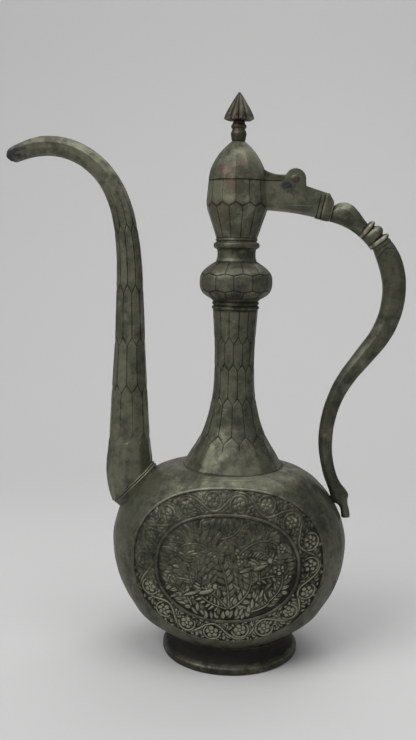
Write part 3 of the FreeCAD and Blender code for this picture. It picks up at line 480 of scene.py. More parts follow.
def put_piece(name, shape, body, slot, nodes, heights=None, sharp=40.0, bevel=0.0, dim=1.0):
    """Make a mesh piece that stands for CAD nodes and rides on their body."""
    bevel_angle, many_corners, inset = 0.5, 12, 0.6 * MM
    verts, faces = shape
    scene = bpy.context.scene
    mesh = bpy.data.meshes.new(name)
    mesh.from_pydata((hand_work(verts, scene.ewer_sizes.wobble / MM) * MM).tolist(), [], faces)
    work = bmesh.new()
    work.from_mesh(mesh)
    bmesh.ops.recalc_face_normals(work, faces=work.faces)
    if bevel:
        edges = [edge for edge in work.edges if edge.is_manifold and edge.calc_face_angle() > bevel_angle]
        bmesh.ops.bevel(
            work, geom=edges, offset=bevel * MM, segments=2, profile=0.6, affect="EDGES",
            clamp_overlap=True)
    flats = [face for face in work.faces if len(face.verts) > many_corners]
    if flats:
        bmesh.ops.inset_individual(work, faces=flats, thickness=inset, use_even_offset=False)
        work.verts.index_update()
    level = {vert.index for face in flats for vert in face.verts}
    work.to_mesh(mesh)
    work.free()
    mesh.polygons.foreach_set("use_smooth", [True] * len(mesh.polygons))
    mesh.set_sharp_from_angle(angle=math.radians(sharp))
    field = mesh.attributes.new("height", "FLOAT", "POINT")
    if heights is None:
        heights = crest_heights(mesh) * dim
        heights[list(level)] = FLAT_HEIGHT * dim
    field.data.foreach_set("value", heights)
    mesh.materials.append(finish(slot))
    piece = bpy.data.objects.new(name, mesh)
    scene.collection.objects.link(piece)
    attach(piece, body)
    if nodes:
        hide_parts(*nodes)
    return piece


def turned_piece(name, node, body, slot, outline, corner, columns, step=None, bored=True, dim=1.0):
    """Put a piece turned on the ewer's axis from (radius, level) points with rounded corners."""
    line = rounded(outline, corner)
    if step:
        line = densify(line, step)
    shape = skin(lathe(line, columns), close_rows=bored, caps=(not bored, not bored))
    put_piece(name, shape, body, slot, [node], dim=dim)


def put_tube(name, node, body, slot, outer, bore, heights):
    """Put a hollow faceted piece: outer rings going up, then a dark bore turned going down."""
    columns = outer.shape[1]
    rings = np.concatenate([outer, lathe(bore, columns)])
    heights = np.concatenate([heights, np.full((len(bore), columns), BORE_HEIGHT)]).ravel()
    put_piece(name, skin(rings, close_rows=True), body, slot, [node], heights, sharp=70.0)


def seam_shade(level, seams, reach=1.3):
    """Dirt in the joints and painted shade beside seams: 1 away from them, small at them."""
    least = 0.25
    shade = np.ones(np.shape(level))
    for seam in seams:
        shade = np.minimum(shade, least + (1 - least) * unit(np.abs(level - seam) / reach))
    return shade


# Materials


def add_node(tree, kind, **values):
    """A node with its settings and unlinked inputs set by name."""
    node = tree.nodes.new(kind)
    for key, value in values.items():
        if hasattr(node, key):
            setattr(node, key, value)
        else:
            node.inputs[key.replace("_", " ")].default_value = value
    return node


def math_node(tree, operation, first, second):
    """The result of a sum on two values, each a number or a socket."""
    node = tree.nodes.new("ShaderNodeMath")
    node.operation = operation
    for socket, value in zip(node.inputs, (first, second)):
        if isinstance(value, (int, float)):
            socket.default_value = value
        else:
            tree.links.new(value, socket)
    return node.outputs[0]


def times(tree, first, second):
    return math_node(tree, "MULTIPLY", first, second)


def plus(tree, first, second):
    return math_node(tree, "ADD", first, second)


def minus(tree, first, second):
    return math_node(tree, "SUBTRACT", first, second)


def most(tree, masks):
    """The greatest of several masks."""
    result = masks[0]
    for mask in masks[1:]:
        result = math_node(tree, "MAXIMUM", result, mask)
    return result


def ramp(tree, value, low, high, to_low=0.0, to_high=1.0):
    """A smooth step of a value between two limits."""
    node = tree.nodes.new("ShaderNodeMapRange")
    node.interpolation_type = "SMOOTHSTEP"
    tree.links.new(value, node.inputs["Value"])
    for key, number in zip(("From Min", "From Max", "To Min", "To Max"), (low, high, to_low, to_high)):
        node.inputs[key].default_value = number
    return node.outputs["Result"]


def mix_colour(tree, factor, first, second):
    """One colour laid over another; each is a socket or three channels, the factor a socket or a number."""
    node = tree.nodes.new("ShaderNodeMix")
    node.data_type = "RGBA"
    sockets = (node.inputs[0], node.inputs[6], node.inputs[7])
    for socket, value in zip(sockets, (factor, first, second)):
        if isinstance(value, bpy.types.NodeSocket):
            tree.links.new(value, socket)
        elif isinstance(value, (int, float)):
            socket.default_value = value
        else:
            socket.default_value = (*value, 1.0)
    return node.outputs[2]


def noise_value(tree, place, scale, detail=4.0, roughness=0.6, stretch=None, turn=(0, 0, 0)):
    """Noise over object space, optionally stretched."""
    if stretch:
        mapping = tree.nodes.new("ShaderNodeMapping")
        mapping.inputs["Scale"].default_value = stretch
        mapping.inputs["Rotation"].default_value = turn
        tree.links.new(place, mapping.inputs["Vector"])
        place = mapping.outputs["Vector"]
    node = tree.nodes.new("ShaderNodeTexNoise")
    node.inputs["Scale"].default_value = scale
    node.inputs["Detail"].default_value = detail
    node.inputs["Roughness"].default_value = roughness
    tree.links.new(place, node.inputs["Vector"])
    return node.outputs["Fac"]


def new_group(name, inputs, outputs):
    """A shader node group with named sockets; returns the tree and its ends."""
    tree = bpy.data.node_groups.new(name, "ShaderNodeTree")
    for in_out, sockets in (("INPUT", inputs), ("OUTPUT", outputs)):
        for label, kind in sockets:
            tree.interface.new_socket(name=label, in_out=in_out, socket_type=f"NodeSocket{kind}")
    start = tree.nodes.new("NodeGroupInput")
    end = tree.nodes.new("NodeGroupOutput")
    return tree, start, end


def aged_tin_group():
    """Tinned metal under patina: mottled tones, dirty grooves with painted shade in low places, rubbed
    crests with painted highlights on high ones, bare edges and copper.
    """
    known = bpy.data.node_groups.get("aged_tin")
    if known:
        return known
    colours = [(label, "Color") for label in ("Dark", "Tone", "Light", "Edge", "Groove", "Copper")]
    amounts = [(label, "Float") for label in (*TIN_AMOUNTS, "Patch")]
    outputs = [("Color", "Color"), ("Roughness", "Float"), ("Bump", "Float")]
    tree, start, end = new_group("aged_tin", colours + amounts, outputs)
    take = start.outputs
    place = tree.nodes.new("ShaderNodeTexCoord").outputs["Object"]
    height = add_node(tree, "ShaderNodeAttribute", attribute_name="height").outputs["Fac"]
    broad = noise_value(tree, place, 26.0, 6.0, 0.66)
    middle = noise_value(tree, place, 150.0, 6.0, 0.68)
    fine = noise_value(tree, place, 1000.0, 4.0, 0.62)
    smudges = noise_value(tree, place, 75.0, 5.0, 0.7)
    scratch = scratch_lines(tree, place)
    blotch = plus(tree, times(tree, broad, 0.5), times(tree, middle, 0.5))
    # Heights made uneven, so that wear, dirt and the painted light and shade end raggedly
    uneven = times(tree, minus(tree, middle, 0.5), 0.7)
    worn = plus(tree, height, uneven)
    crest = plus(tree, height, times(tree, uneven, 0.4))
    bare = times(tree, ramp(tree, broad, 0.56, 0.68), take["Copper Share"])
    hollow = ramp(tree, worn, 0.95, 0.35, 0.6, 1.0)
    patch = times(tree, take["Patch"], times(tree, ramp(tree, middle, 0.36, 0.6), hollow))
    # Rubbed crests, and painted highlights where the heights were raised to stand for light
    rub_and_highlight = times(tree, ramp(tree, worn, 0.78, 1.12), take["Rub And Highlight"])
    # Dirt in grooves, and painted shade where the heights were lowered to stand for shade
    dirt_and_shade = times(tree, ramp(tree, worn, 0.62, 0.08), take["Groove Strength"])
    edge = times(tree, ramp(tree, crest, 0.78, 0.94), take["Edge Share"])
    clean = minus(tree, 0.45, times(tree, dirt_and_shade, 0.45))
    # Bloom, pits, smudges, copper, rubbing with painted highlights, dirt with painted shade, bare edges and
    # scratches, one over the other
    coats = (
        (ramp(tree, middle, 0.55, 0.76, 0.0, 0.42), "Light"),
        (ramp(tree, fine, 0.58, 0.72, 0.0, 0.5), "Groove"),
        (ramp(tree, smudges, 0.55, 0.70, 0.0, 0.55), "Groove"),
        (most(tree, (bare, patch)), "Copper"), (rub_and_highlight, "Light"), (dirt_and_shade, "Groove"), (edge, "Edge"),
        (times(tree, scratch, clean), "Light"),
    )
    colour = mix_colour(tree, ramp(tree, blotch, 0.40, 0.58), take["Dark"], take["Tone"])
    for mask, tone in coats:
        colour = mix_colour(tree, mask, colour, take[tone])
    rough = plus(tree, ramp(tree, blotch, 0.3, 0.7, 0.60, 0.42), times(tree, dirt_and_shade, 0.25))
    bump = plus(tree, times(tree, fine, 0.5), times(tree, middle, 0.9))
    bump = minus(tree, bump, times(tree, scratch, 0.5))
    for label, value in (("Color", colour), ("Roughness", rough), ("Bump", bump)):
        tree.links.new(value, end.inputs[label])
    return tree


def scratch_lines(tree, place):
    """Fine crossing scratches as a mask."""
    masks = []
    for stretch, turn in (((1.0, 1.0, 0.035), (0.10, 0.06, 0.0)), ((0.04, 1.0, 1.0), (0.1, 0.5, 0.3))):
        grain = noise_value(tree, place, 700.0, 2.0, 0.5, stretch, turn)
        masks.append(ramp(tree, grain, 0.68, 0.75, 0.0, 0.7))
    return most(tree, masks)


def patch_group():
    """A ragged round patch about a spot: 1 in its middle, 0 outside."""
    known = bpy.data.node_groups.get("ragged_patch")
    if known:
        return known
    inputs = [("Spot", "Vector"), ("Radius", "Float")]
    tree, start, end = new_group("ragged_patch", inputs, [("Mask", "Float")])
    place = tree.nodes.new("ShaderNodeTexCoord").outputs["Object"]
    gap = tree.nodes.new("ShaderNodeVectorMath")
    gap.operation = "DISTANCE"
    tree.links.new(place, gap.inputs[0])
    tree.links.new(start.outputs["Spot"], gap.inputs[1])
    share = math_node(tree, "DIVIDE", gap.outputs["Value"], start.outputs["Radius"])
    ragged = times(tree, noise_value(tree, place, 210.0, 6.0, 0.75), 3.0)
    tree.links.new(ramp(tree, plus(tree, share, ragged), 2.35, 1.7), end.inputs["Mask"])
    return tree


TIN_AMOUNTS = ("Groove Strength", "Rub And Highlight", "Edge Share", "Copper Share")
# How each finish differs: lightness, the four amounts above, then spot and radius of its copper patches
FINISHES = {
    # The foot's low lightness is painted shade beneath the body
    "foot_metal": (0.50, 0.98, 0.35, 0.03, 0.00, ()),
    "body_metal": (0.90, 0.92, 0.95, 0.04, 0.00, ()),
    "rim_metal": (0.92, 0.80, 0.45, 0.15, 0.00, ()),
    "neck_metal": (1.06, 0.92, 0.50, 0.04, 0.00, ()),
    "head_metal": (
        1.48, 0.80, 0.40, 0.03, 0.05, (((-13.0, -14.0, 291.0), 17.0), ((-2.0, -19.0, 311.0), 10.0))),
    "lid_metal": (
        1.12, 0.76, 0.50, 0.05, 0.05, (((-6.0, -16.0, 321.0), 10.0), ((4.0, -15.0, 325.0), 8.0))),
    "finial_metal": (0.56, 0.97, 0.35, 0.40, 0.12, (((-4.0, -6.0, 353.0), 15.0),)),
    "spout_metal": (1.26, 0.96, 0.45, 0.04, 0.03, (((-148.0, -3.0, 329.0), 11.0),)),
    "arm_metal": (1.32, 0.88, 0.35, 0.30, 0.03, ()),
    "bow_metal": (1.18, 0.88, 0.35, 0.85, 0.08, ()),
    "handle_metal": (0.84, 0.88, 0.35, 0.60, 0.05, ()),
    "pin_copper": (0.70, 0.95, 0.40, 0.50, 0.70, (((37.0, 0.0, 315.0), 20.0),)),
}
# Finishes whose grooves show copper, and how deep its tone is there
WARM_GROOVE_SLOTS = ("head_metal", "lid_metal")
WARM_GROOVE_TONE = 0.42
# Dark stains: spot, radius and strength
STAINS = {
    "arm_metal": ((33.6, -6.5, 311.3), 7.0, 0.85),
    "spout_metal": ((-151.0, -3.0, 327.0), 26.0, 0.8),
    "neck_metal": ((3.0, -22.0, 246.0), 9.0, 0.6),
}


def finish(slot):
    """The material of a slot, built on first use."""
    name = f"ewer_{slot}"
    known = bpy.data.materials.get(name)
    if known:
        return known
    colours = bpy.context.scene.ewer_colours
    lightness, *amounts, patches = FINISHES[slot]
    material = bpy.data.materials.new(name)
    material.use_nodes = True
    tree = material.node_tree
    shader = tree.nodes["Principled BSDF"]
    tin = tree.nodes.new("ShaderNodeGroup")
    tin.node_tree = aged_tin_group()
    groove = colours.groove
    if slot in WARM_GROOVE_SLOTS:
        groove = [channel * WARM_GROOVE_TONE for channel in colours.copper]
    tones = {
        "Dark": colours.tin_dark, "Tone": colours.tin_tone, "Light": colours.tin_light,
        "Edge": colours.bare_edge, "Groove": groove, "Copper": colours.copper,
    }
    for label, tone in tones.items():
        scale = lightness if label in ("Dark", "Tone") else 1.0
        tin.inputs[label].default_value = (*[channel * scale for channel in tone], 1.0)
    for label, amount in zip(TIN_AMOUNTS, amounts):
        tin.inputs[label].default_value = amount
    masks = [ragged_patch(tree, spot, radius) for spot, radius in patches]
    if masks:
        tree.links.new(most(tree, masks), tin.inputs["Patch"])
    colour = tin.outputs["Color"]
    if slot in STAINS:
        spot, radius, strength = STAINS[slot]
        stain = times(tree, ragged_patch(tree, spot, radius), strength)
        colour = mix_colour(tree, stain, colour, tuple(colours.stain))
    tree.links.new(colour, shader.inputs["Base Color"])
    tree.links.new(tin.outputs["Roughness"], shader.inputs["Roughness"])
    shader.inputs["Metallic"].default_value = 0.72
    bump = add_node(tree, "ShaderNodeBump", Strength=0.35, Distance=0.00025)
    tree.links.new(tin.outputs["Bump"], bump.inputs["Height"])
    tree.links.new(bump.outputs["Normal"], shader.inputs["Normal"])
    return material


def ragged_patch(tree, spot, radius):
    """The mask of a ragged patch about a spot given in millimetres."""
    node = tree.nodes.new("ShaderNodeGroup")
    node.node_tree = patch_group()
    node.inputs["Spot"].default_value = [value * MM for value in spot]
    node.inputs["Radius"].default_value = radius * MM
    return node.outputs["Mask"]


# Foot and body


def make_foot():
    """A spool-shaped ring with a lip lightened by wear and a painted highlight, and painted shade in its
    waist.
    """
    columns, lip_level, waist_level, seam_level = 160, 4.2, 5.2, 8.0
    outline = [
        (FOOT_BORE_RADIUS, seam_level), (FOOT_BORE_RADIUS, 0.0), (FOOT_RADIUS, 0.0), (FOOT_RADIUS, 4.4),
        (42.8, 6.4), (41.2, 10.0), (41.8, 14.0), (FOOT_SEAT_RADIUS, BODY_BASE),
        (FOOT_BORE_RADIUS, BODY_BASE), (FOOT_BORE_RADIUS, seam_level + 0.2),
    ]
    line = densify(rounded(outline, 1.5, 5), 1.2)
    radius, level = (np.repeat(values, columns) for values in line.T)
    waist = unit((level - waist_level) / 1.6) * unit((BODY_BASE - level) / 1.2)
    # A lip lightened by wear and a painted highlight, painted shade in the concave waist, and the inside of
    # the ring darkened
    heights = PLAIN_HEIGHT + 0.30 * ridge(level - lip_level, 0.8) - 0.60 * waist
    heights[radius < FOOT_BORE_RADIUS + 1] = CAP_HEIGHT
    put_piece(
        "foot", skin(lathe(line, columns), close_rows=True), "ewer", "foot_metal", ["foot_ring"], heights)


def densify(points, step):
    """The same outline with points no further apart than a step."""
    line = [points[0]]
    for start, end in zip(points, points[1:]):
        pieces = max(1, int(math.ceil(np.linalg.norm(end - start) / step)))
        line += [start + (end - start) * (number + 1) / pieces for number in range(pieces)]
    return np.array(line)


def body_stations(column, foot, top):
    """(height share, size share) of the body's width or depth, from foot to top."""
    inner = [(row[0], row[column]) for row in BODY_SECTION_SHARES]
    return [(0.0, foot), *inner, (1.0, top)]


def body_half_sizes(level):
    """The body's half width and half depth at heights."""
    share = (np.asarray(level, float) - BODY_BASE) / BODY_HEIGHT
    wide = body_stations(1, FOOT_SEAT_RADIUS / BODY_HALF_WIDTH, BODY_TOP_RADIUS / BODY_HALF_WIDTH)
    deep = body_stations(2, FOOT_SEAT_RADIUS / BODY_HALF_DEPTH, BODY_TOP_RADIUS / BODY_HALF_DEPTH)
    return BODY_HALF_WIDTH * smooth_curve(wide, share), BODY_HALF_DEPTH * smooth_curve(deep, share)


def body_face(across, level, side):
    """Points of the body's front (side -1) or back (side 1), and the outward normals there."""
    width, depth = body_half_sizes(level)
    reach = across + BODY_SWAY
    away = side * depth * np.sqrt(unit(1 - (reach / width) ** 2))
    step = 0.05
    wider, deeper = body_half_sizes(level + step)
    rise = reach ** 2 * (wider - width) / width ** 3 + away ** 2 * (deeper - depth) / depth ** 3
    normal = np.stack([reach / width ** 2, away / depth ** 2, -rise / step], axis=-1)
    normal /= np.linalg.norm(normal, axis=-1, keepdims=True)
    return np.stack([across, away, level], axis=-1), normal


def even_levels(step):
    """Heights of the body that lie evenly along its side."""
    level = np.linspace(BODY_BASE, NECK_BASE, 3000)
    length = run_lengths(body_half_sizes(level)[0], level)
    return np.interp(np.linspace(0, length[-1], int(length[-1] / step) + 1), length, level)


def shoulder_lines(levels):
    """The levels with fine rows added near the neck, and the depth of the lines turned there."""
    fine = np.linspace(NECK_BASE - 4.2, NECK_BASE - 0.15, 46)
    levels = np.concatenate([levels[levels < fine[0] - 0.3], fine, [NECK_BASE]])
    depth = np.zeros(len(levels))
    for mark in SHOULDER_MARKS:
        depth += 0.16 * ridge(NECK_BASE - mark - levels, 0.14)
    return levels, depth


def even_angles(step):
    """Angles that lie evenly along the body's widest section."""
    angle = np.linspace(0, TURN, 4001)
    length = run_lengths(BODY_HALF_WIDTH * np.cos(angle), BODY_HALF_DEPTH * np.sin(angle))
    count = int(length[-1] / step / 4) * 4
    return np.interp(np.arange(count) * length[-1] / count, length, angle)


def body_rings(levels, angles, inset):
    """Rings of the body at levels, set in from its face."""
    width, depth = body_half_sizes(levels)
    x = np.outer(width - inset, np.cos(angles)) - BODY_SWAY
    y = np.outer(depth - inset, np.sin(angles))
    z = np.broadcast_to(np.asarray(levels)[:, None], x.shape)
    return np.stack([x, y, z], axis=-1)


class Chasing:
    """A height map of chased ornament on an oval plate, raised stroke by stroke."""

    def __init__(self, half_width, half_height, cell):
        self.columns = np.arange(-half_width, half_width + cell, cell)
        self.rows = np.arange(-half_height, half_height + cell, cell)
        self.heights = np.zeros((len(self.rows), len(self.columns)))

    def window(self, x, y, reach):
        """The map near a point, with coordinates from that point."""
        left, right = np.searchsorted(self.columns, (x - reach, x + reach))
        low, high = np.searchsorted(self.rows, (y - reach, y + reach))
        across, up = np.meshgrid(self.columns[left:right] - x, self.rows[low:high] - y)
        return self.heights[low:high, left:right], across, up

    def leaf(self, x, y, angle, length, width, level, moat=0.5):
        """A pointed leaf with its root at the point and a moat cut round it; a wide one has a vein."""
        part, across, up = self.window(x, y, length + 1.5)
        along = across * math.cos(angle) + up * math.sin(angle)
        aside = np.abs(up * math.cos(angle) - across * math.sin(angle))
        share = unit(along / length)
        half = width / 2 * np.sin(np.pi * share ** 0.8)
        part[(along > -0.8 * moat) & (along < length + 0.9 * moat) & (aside < half + moat)] *= 0.1
        dome = np.sqrt(unit(1 - (aside / np.maximum(half, 1e-6)) ** 2))
        vein = 1 - 0.5 * ridge(aside, 0.3) if width > VEINED_WIDTH else 1.0
        np.maximum(part, level * dome * vein * (0.7 + 0.3 * share), out=part)

    def disc(self, x, y, radius, level):
        """A round boss with a groove cut round it."""
        part, across, up = self.window(x, y, radius + 1)
        gap = np.hypot(across, up)
        part[gap < radius + 0.35] *= 0.12
        np.maximum(part, level * np.sqrt(unit(1 - (gap / radius) ** 2)), out=part)

    def line(self, points, width, level):
        """A round-backed tendril along points, with a moat cut beside it first."""
        for cutting in (True, False):
            for (x0, y0), (x1, y1) in zip(points, points[1:]):
                length = math.hypot(x1 - x0, y1 - y0)
                if length == 0:
                    continue
                part, across, up = self.window((x0 + x1) / 2, (y0 + y1) / 2, length / 2 + width)
                cos, sin = (x1 - x0) / length, (y1 - y0) / length
                along = np.abs(across * cos + up * sin)
                aside = np.hypot(up * cos - across * sin, np.maximum(along - length / 2, 0))
                if cutting:
                    part[aside < width / 2 + 0.4] *= 0.2
                else:
                    np.maximum(part, level * unit(1 - (aside / (width / 2)) ** 2), out=part)

    def filled(self, x, y, radius):
        """How much of the ground near a point is already carved."""
        part, across, up = self.window(x, y, radius)
        return part[np.hypot(across, up) < radius].mean() if part.size else 1.0

    @staticmethod
    def cell(value, marks):
        """The map's cell that each value lies in, and the share of the cell before it."""
        place = np.clip((value - marks[0]) / (marks[1] - marks[0]), 0, len(marks) - 1.001)
        index = place.astype(int)
        return index, place - index

    def sample(self, x, y):
        """Heights at points, read between the map's cells."""
        left, right_share = self.cell(x, self.columns)
        low, high_share = self.cell(y, self.rows)
        bottom, top = (
            self.heights[row, left] * (1 - right_share) + self.heights[row, left + 1] * right_share
            for row in (low, low + 1)
        )
        return bottom * (1 - high_share) + top * high_share


def stride(x, y, angle, distance):
    """The point at a distance from another in a direction."""
    return x + distance * math.cos(angle), y + distance * math.sin(angle)


# The chased ornament: cell of its height map, width from which a leaf has a vein, and its border
CHASING_CELL = 0.22
VEINED_WIDTH = 2.6
BORDER_ROUNDELS = 18
BORDER_HALF_WIDTH = (MEDALLION_HALF_WIDTH + FIELD_HALF_WIDTH - RIM_WIDTH) / 2
BORDER_HALF_HEIGHT = (MEDALLION_HALF_HEIGHT + FIELD_HALF_HEIGHT - RIM_WIDTH) / 2


def oval_spots(half_width, half_height, angle):
    """Points of a full oval at angles."""
    across, up = np.cos(angle), np.sin(angle)
    x = half_width * np.sign(across) * np.abs(across) ** OVAL_POWER
    return x, half_height * np.sign(up) * np.abs(up) ** OVAL_POWER


def oval_share(across, up, half_width, half_height):
    """How far out points lie in a full oval: 0 in its middle, 1 on its line."""
    power = 2 / OVAL_POWER
    return (np.abs(across / half_width) ** power + np.abs(up / half_height) ** power) ** (1 / power)


def medallion_share(across, level):
    """How far out points of the body lie in a medallion: 0 in its middle, 1 on its outer line."""
    return oval_share(across, level - MEDALLION_LEVEL, MEDALLION_HALF_WIDTH, MEDALLION_HALF_HEIGHT)


def oval_places(half_width, half_height, count):
    """Points evenly along an oval, with the direction out of it at each."""
    angle = np.linspace(0, TURN, 4001)
    length = run_lengths(*oval_spots(half_width, half_height, angle))
    even = np.interp(np.arange(count) * length[-1] / count, length, angle)
    x, y = oval_spots(half_width, half_height, even)
    out = np.arctan2(np.roll(x, 1) - np.roll(x, -1), np.roll(y, -1) - np.roll(y, 1))
    return x, y, out


def chase_border(plate, dice):
    """A winding vine with a rosette in each bend and leaves in the corners."""
    fine = 24
    count = BORDER_ROUNDELS * fine
    xs, ys, outs = oval_places(BORDER_HALF_WIDTH, BORDER_HALF_HEIGHT, count)
    sway = 5.4 * np.cos(np.pi * np.arange(count) / fine)
    vine = [stride(x, y, out, reach) for x, y, out, reach in zip(xs, ys, outs, sway)]
    for number in range(BORDER_ROUNDELS):
        half = (number * fine + fine // 2) % count
        for way in (1, -1):
            root = stride(xs[half], ys[half], outs[half], way * 1.2)
            for lean in (-0.9, -0.1, 0.75):
                angle = outs[half] + (0 if way > 0 else np.pi) + lean + dice.uniform(-0.2, 0.2)
                plate.leaf(*root, angle, dice.uniform(4.6, 6.0), 2.7, 0.9)
    for index in range(0, count, 3):
        for reach in np.arange(-6.0, 6.1, 1.5):
            x, y = stride(xs[index], ys[index], outs[index], reach)
            if plate.filled(x, y, 1.5) < 0.10:
                angle = outs[index] + dice.uniform(-2.5, 2.5)
                plate.leaf(x, y, angle, dice.uniform(2.6, 3.6), 1.8, 0.8)
    plate.line(vine + vine[:1], 1.5, 0.82)
    for number in range(BORDER_ROUNDELS):
        index = (number * fine + dice.randint(-2, 2)) % count
        side = 1 if number % 2 else -1
        x, y = stride(xs[index], ys[index], outs[index], side * dice.uniform(0.4, 1.4))
        turns = np.linspace(-0.7 * np.pi, 0.45 * np.pi, 22)
        plate.line([stride(x, y, outs[index] + side * turn, 5.3) for turn in turns], 1.3, 0.85)
        rosette(plate, x, y, dice.uniform(3.7, 4.5), dice)


def rosette(plate, x, y, radius, dice):
    """A round flower: petals about a boss."""
    petals = dice.choice((5, 5, 6))
    start = dice.uniform(0, TURN)
    for petal in range(petals):
        spot = stride(x, y, start + TURN * petal / petals, 0.58 * radius)
        plate.disc(*spot, 0.42 * radius, dice.uniform(0.85, 1.0))
    plate.disc(x, y, 0.27 * radius, 0.95)


def branch_points(x, y, angle, length, curl, count=26):
    """A tendril that curls more and more towards its end."""
    points = []
    step = length / count
    for number in range(count + 1):
        points.append((x, y, angle))
        x, y = stride(x, y, angle, step)
        angle += curl * step * (0.4 + 1.2 * number / count)
    return points


# (x, y, first direction in degrees, length, curl) of the field's stems, which fan out and scroll
STEMS = (
    (2.0, -25.0, 62.0, 44.0, -0.034), (2.0, -25.0, 92.0, 40.0, 0.016), (1.0, -25.0, 128.0, 42.0, 0.030),
    (3.0, -25.0, 34.0, 40.0, 0.058), (0.0, -25.0, 166.0, 38.0, -0.045), (-19.0, -7.0, 84.0, 30.0, 0.060),
    (21.0, -6.0, 98.0, 32.0, -0.066), (-31.0, 1.0, 62.0, 30.0, -0.062), (31.0, 3.0, 122.0, 28.0, 0.066),
    (-5.0, 10.0, 142.0, 30.0, 0.060), (8.0, 11.0, 46.0, 30.0, -0.064), (14.0, -27.0, 6.0, 22.0, 0.075),
    (-4.0, 20.0, 8.0, 22.0, 0.090), (-22.0, -24.0, 112.0, 24.0, 0.075), (27.0, -20.0, 40.0, 24.0, 0.070),
)
FROND_STEMS = (0, 4, 8)
# (x, y, facing side) of the birds
BIRDS = ((-25.0, 8.0, -1), (-14.0, -13.0, 1), (20.0, 4.0, 1))


def chase_field(plate, dice):
    """Scrolling leafy stems with birds, then loose leaves wherever ground is left."""
    for number, (x, y, degrees, length, curl) in enumerate(STEMS):
        stem = branch_points(x, y, math.radians(degrees), length, curl)
        stem = [point for point in stem if inside_field(*point[:2], 0.95)]
        if number in FROND_STEMS:
            frond(plate, stem[3::2], dice)
        else:
            leafy(plate, stem[2::3], dice)
        plate.line([point[:2] for point in stem], 1.2, 0.70)
        tip = stem[-1][:2]
        if inside_field(*tip, 0.86):
            rosette(plate, *tip, dice.uniform(3.2, 4.2), dice)
    for x, y, side in BIRDS:
        bird(plate, x, y, side)
    for y in np.arange(-FIELD_HALF_HEIGHT, FIELD_HALF_HEIGHT, 1.4):
        for x in np.arange(-FIELD_HALF_WIDTH, FIELD_HALF_WIDTH, 1.4):
            spot_x, spot_y = x + dice.uniform(-0.7, 0.7), y + dice.uniform(-0.7, 0.7)
            fan = math.atan2(spot_y + 34.0, spot_x) + 1.1 * math.sin(spot_x / 7.0)
            angle = fan + dice.uniform(-0.5, 0.5)
            size = dice.uniform(4.4, 7.6)
            middle = stride(spot_x, spot_y, angle, size / 2)
            if inside_field(*middle, 0.93) and plate.filled(*middle, 1.8) < 0.11:
                plate.leaf(spot_x, spot_y, angle, size, dice.uniform(2.2, 3.2), dice.uniform(0.6, 1.0))


def leaf_places(stem, dice, leans, lengths):
    """Roots, directions and lengths of the leaves on both sides of a stem that stay in the field."""
    for x, y, along in stem:
        for way in (1, -1):
            angle = along + way * dice.uniform(*leans)
            size = dice.uniform(*lengths)
            if inside_field(*stride(x, y, angle, size), 0.97):
                yield x, y, angle, size


def leafy(plate, stem, dice):
    """Pointed leaves on both sides of a stem."""
    for place in leaf_places(stem, dice, (0.5, 1.0), (5.6, 8.6)):
        plate.leaf(*place, dice.uniform(2.7, 3.7), dice.uniform(0.75, 1.0))


def frond(plate, stem, dice):
    """Short strokes side by side along a stem."""
    for place in leaf_places(stem, dice, (1.0, 1.25), (4.6, 6.0)):
        plate.leaf(*place, 1.7, dice.uniform(0.75, 0.95))


def inside_field(x, y, share):
    """Whether a point lies within a share of the medallion's inner field."""
    return oval_share(x, y, FIELD_HALF_WIDTH - RIM_WIDTH, FIELD_HALF_HEIGHT - RIM_WIDTH) < share


def bird(plate, x, y, side):
    """A plain small bird among the leaves, facing along the given side."""
    ahead = 0.25 if side > 0 else np.pi - 0.25
    plate.leaf(x - side * 6.0, y - 1.9, ahead, 14.0, 6.4, 1.0, 1.0)
    plate.leaf(x - side * 3.4, y - 1.6, np.pi + side * 0.35, 10.5, 2.5, 0.9, 0.8)
    plate.leaf(x + side * 0.7, y + 0.3, np.pi / 2 + side * 1.0, 7.5, 2.5, 1.0, 0.7)
    plate.leaf(x - side * 0.9, y + 0.2, np.pi / 2 + side * 1.2, 6.5, 2.0, 0.95, 0.5)
    plate.disc(x + side * 7.2, y + 2.7, 2.0, 1.0)
    plate.leaf(x + side * 8.5, y + 2.7, 0.0 if side > 0 else np.pi, 3.0, 1.2, 0.9)


def chased_plate(seed):
    """The medallion's whole ornament as a height map from 0 to 1."""
    dice = random.Random(seed)
    plate = Chasing(MEDALLION_HALF_WIDTH, MEDALLION_HALF_HEIGHT, CHASING_CELL)
    chase_border(plate, dice)
    chase_field(plate, dice)
    return plate


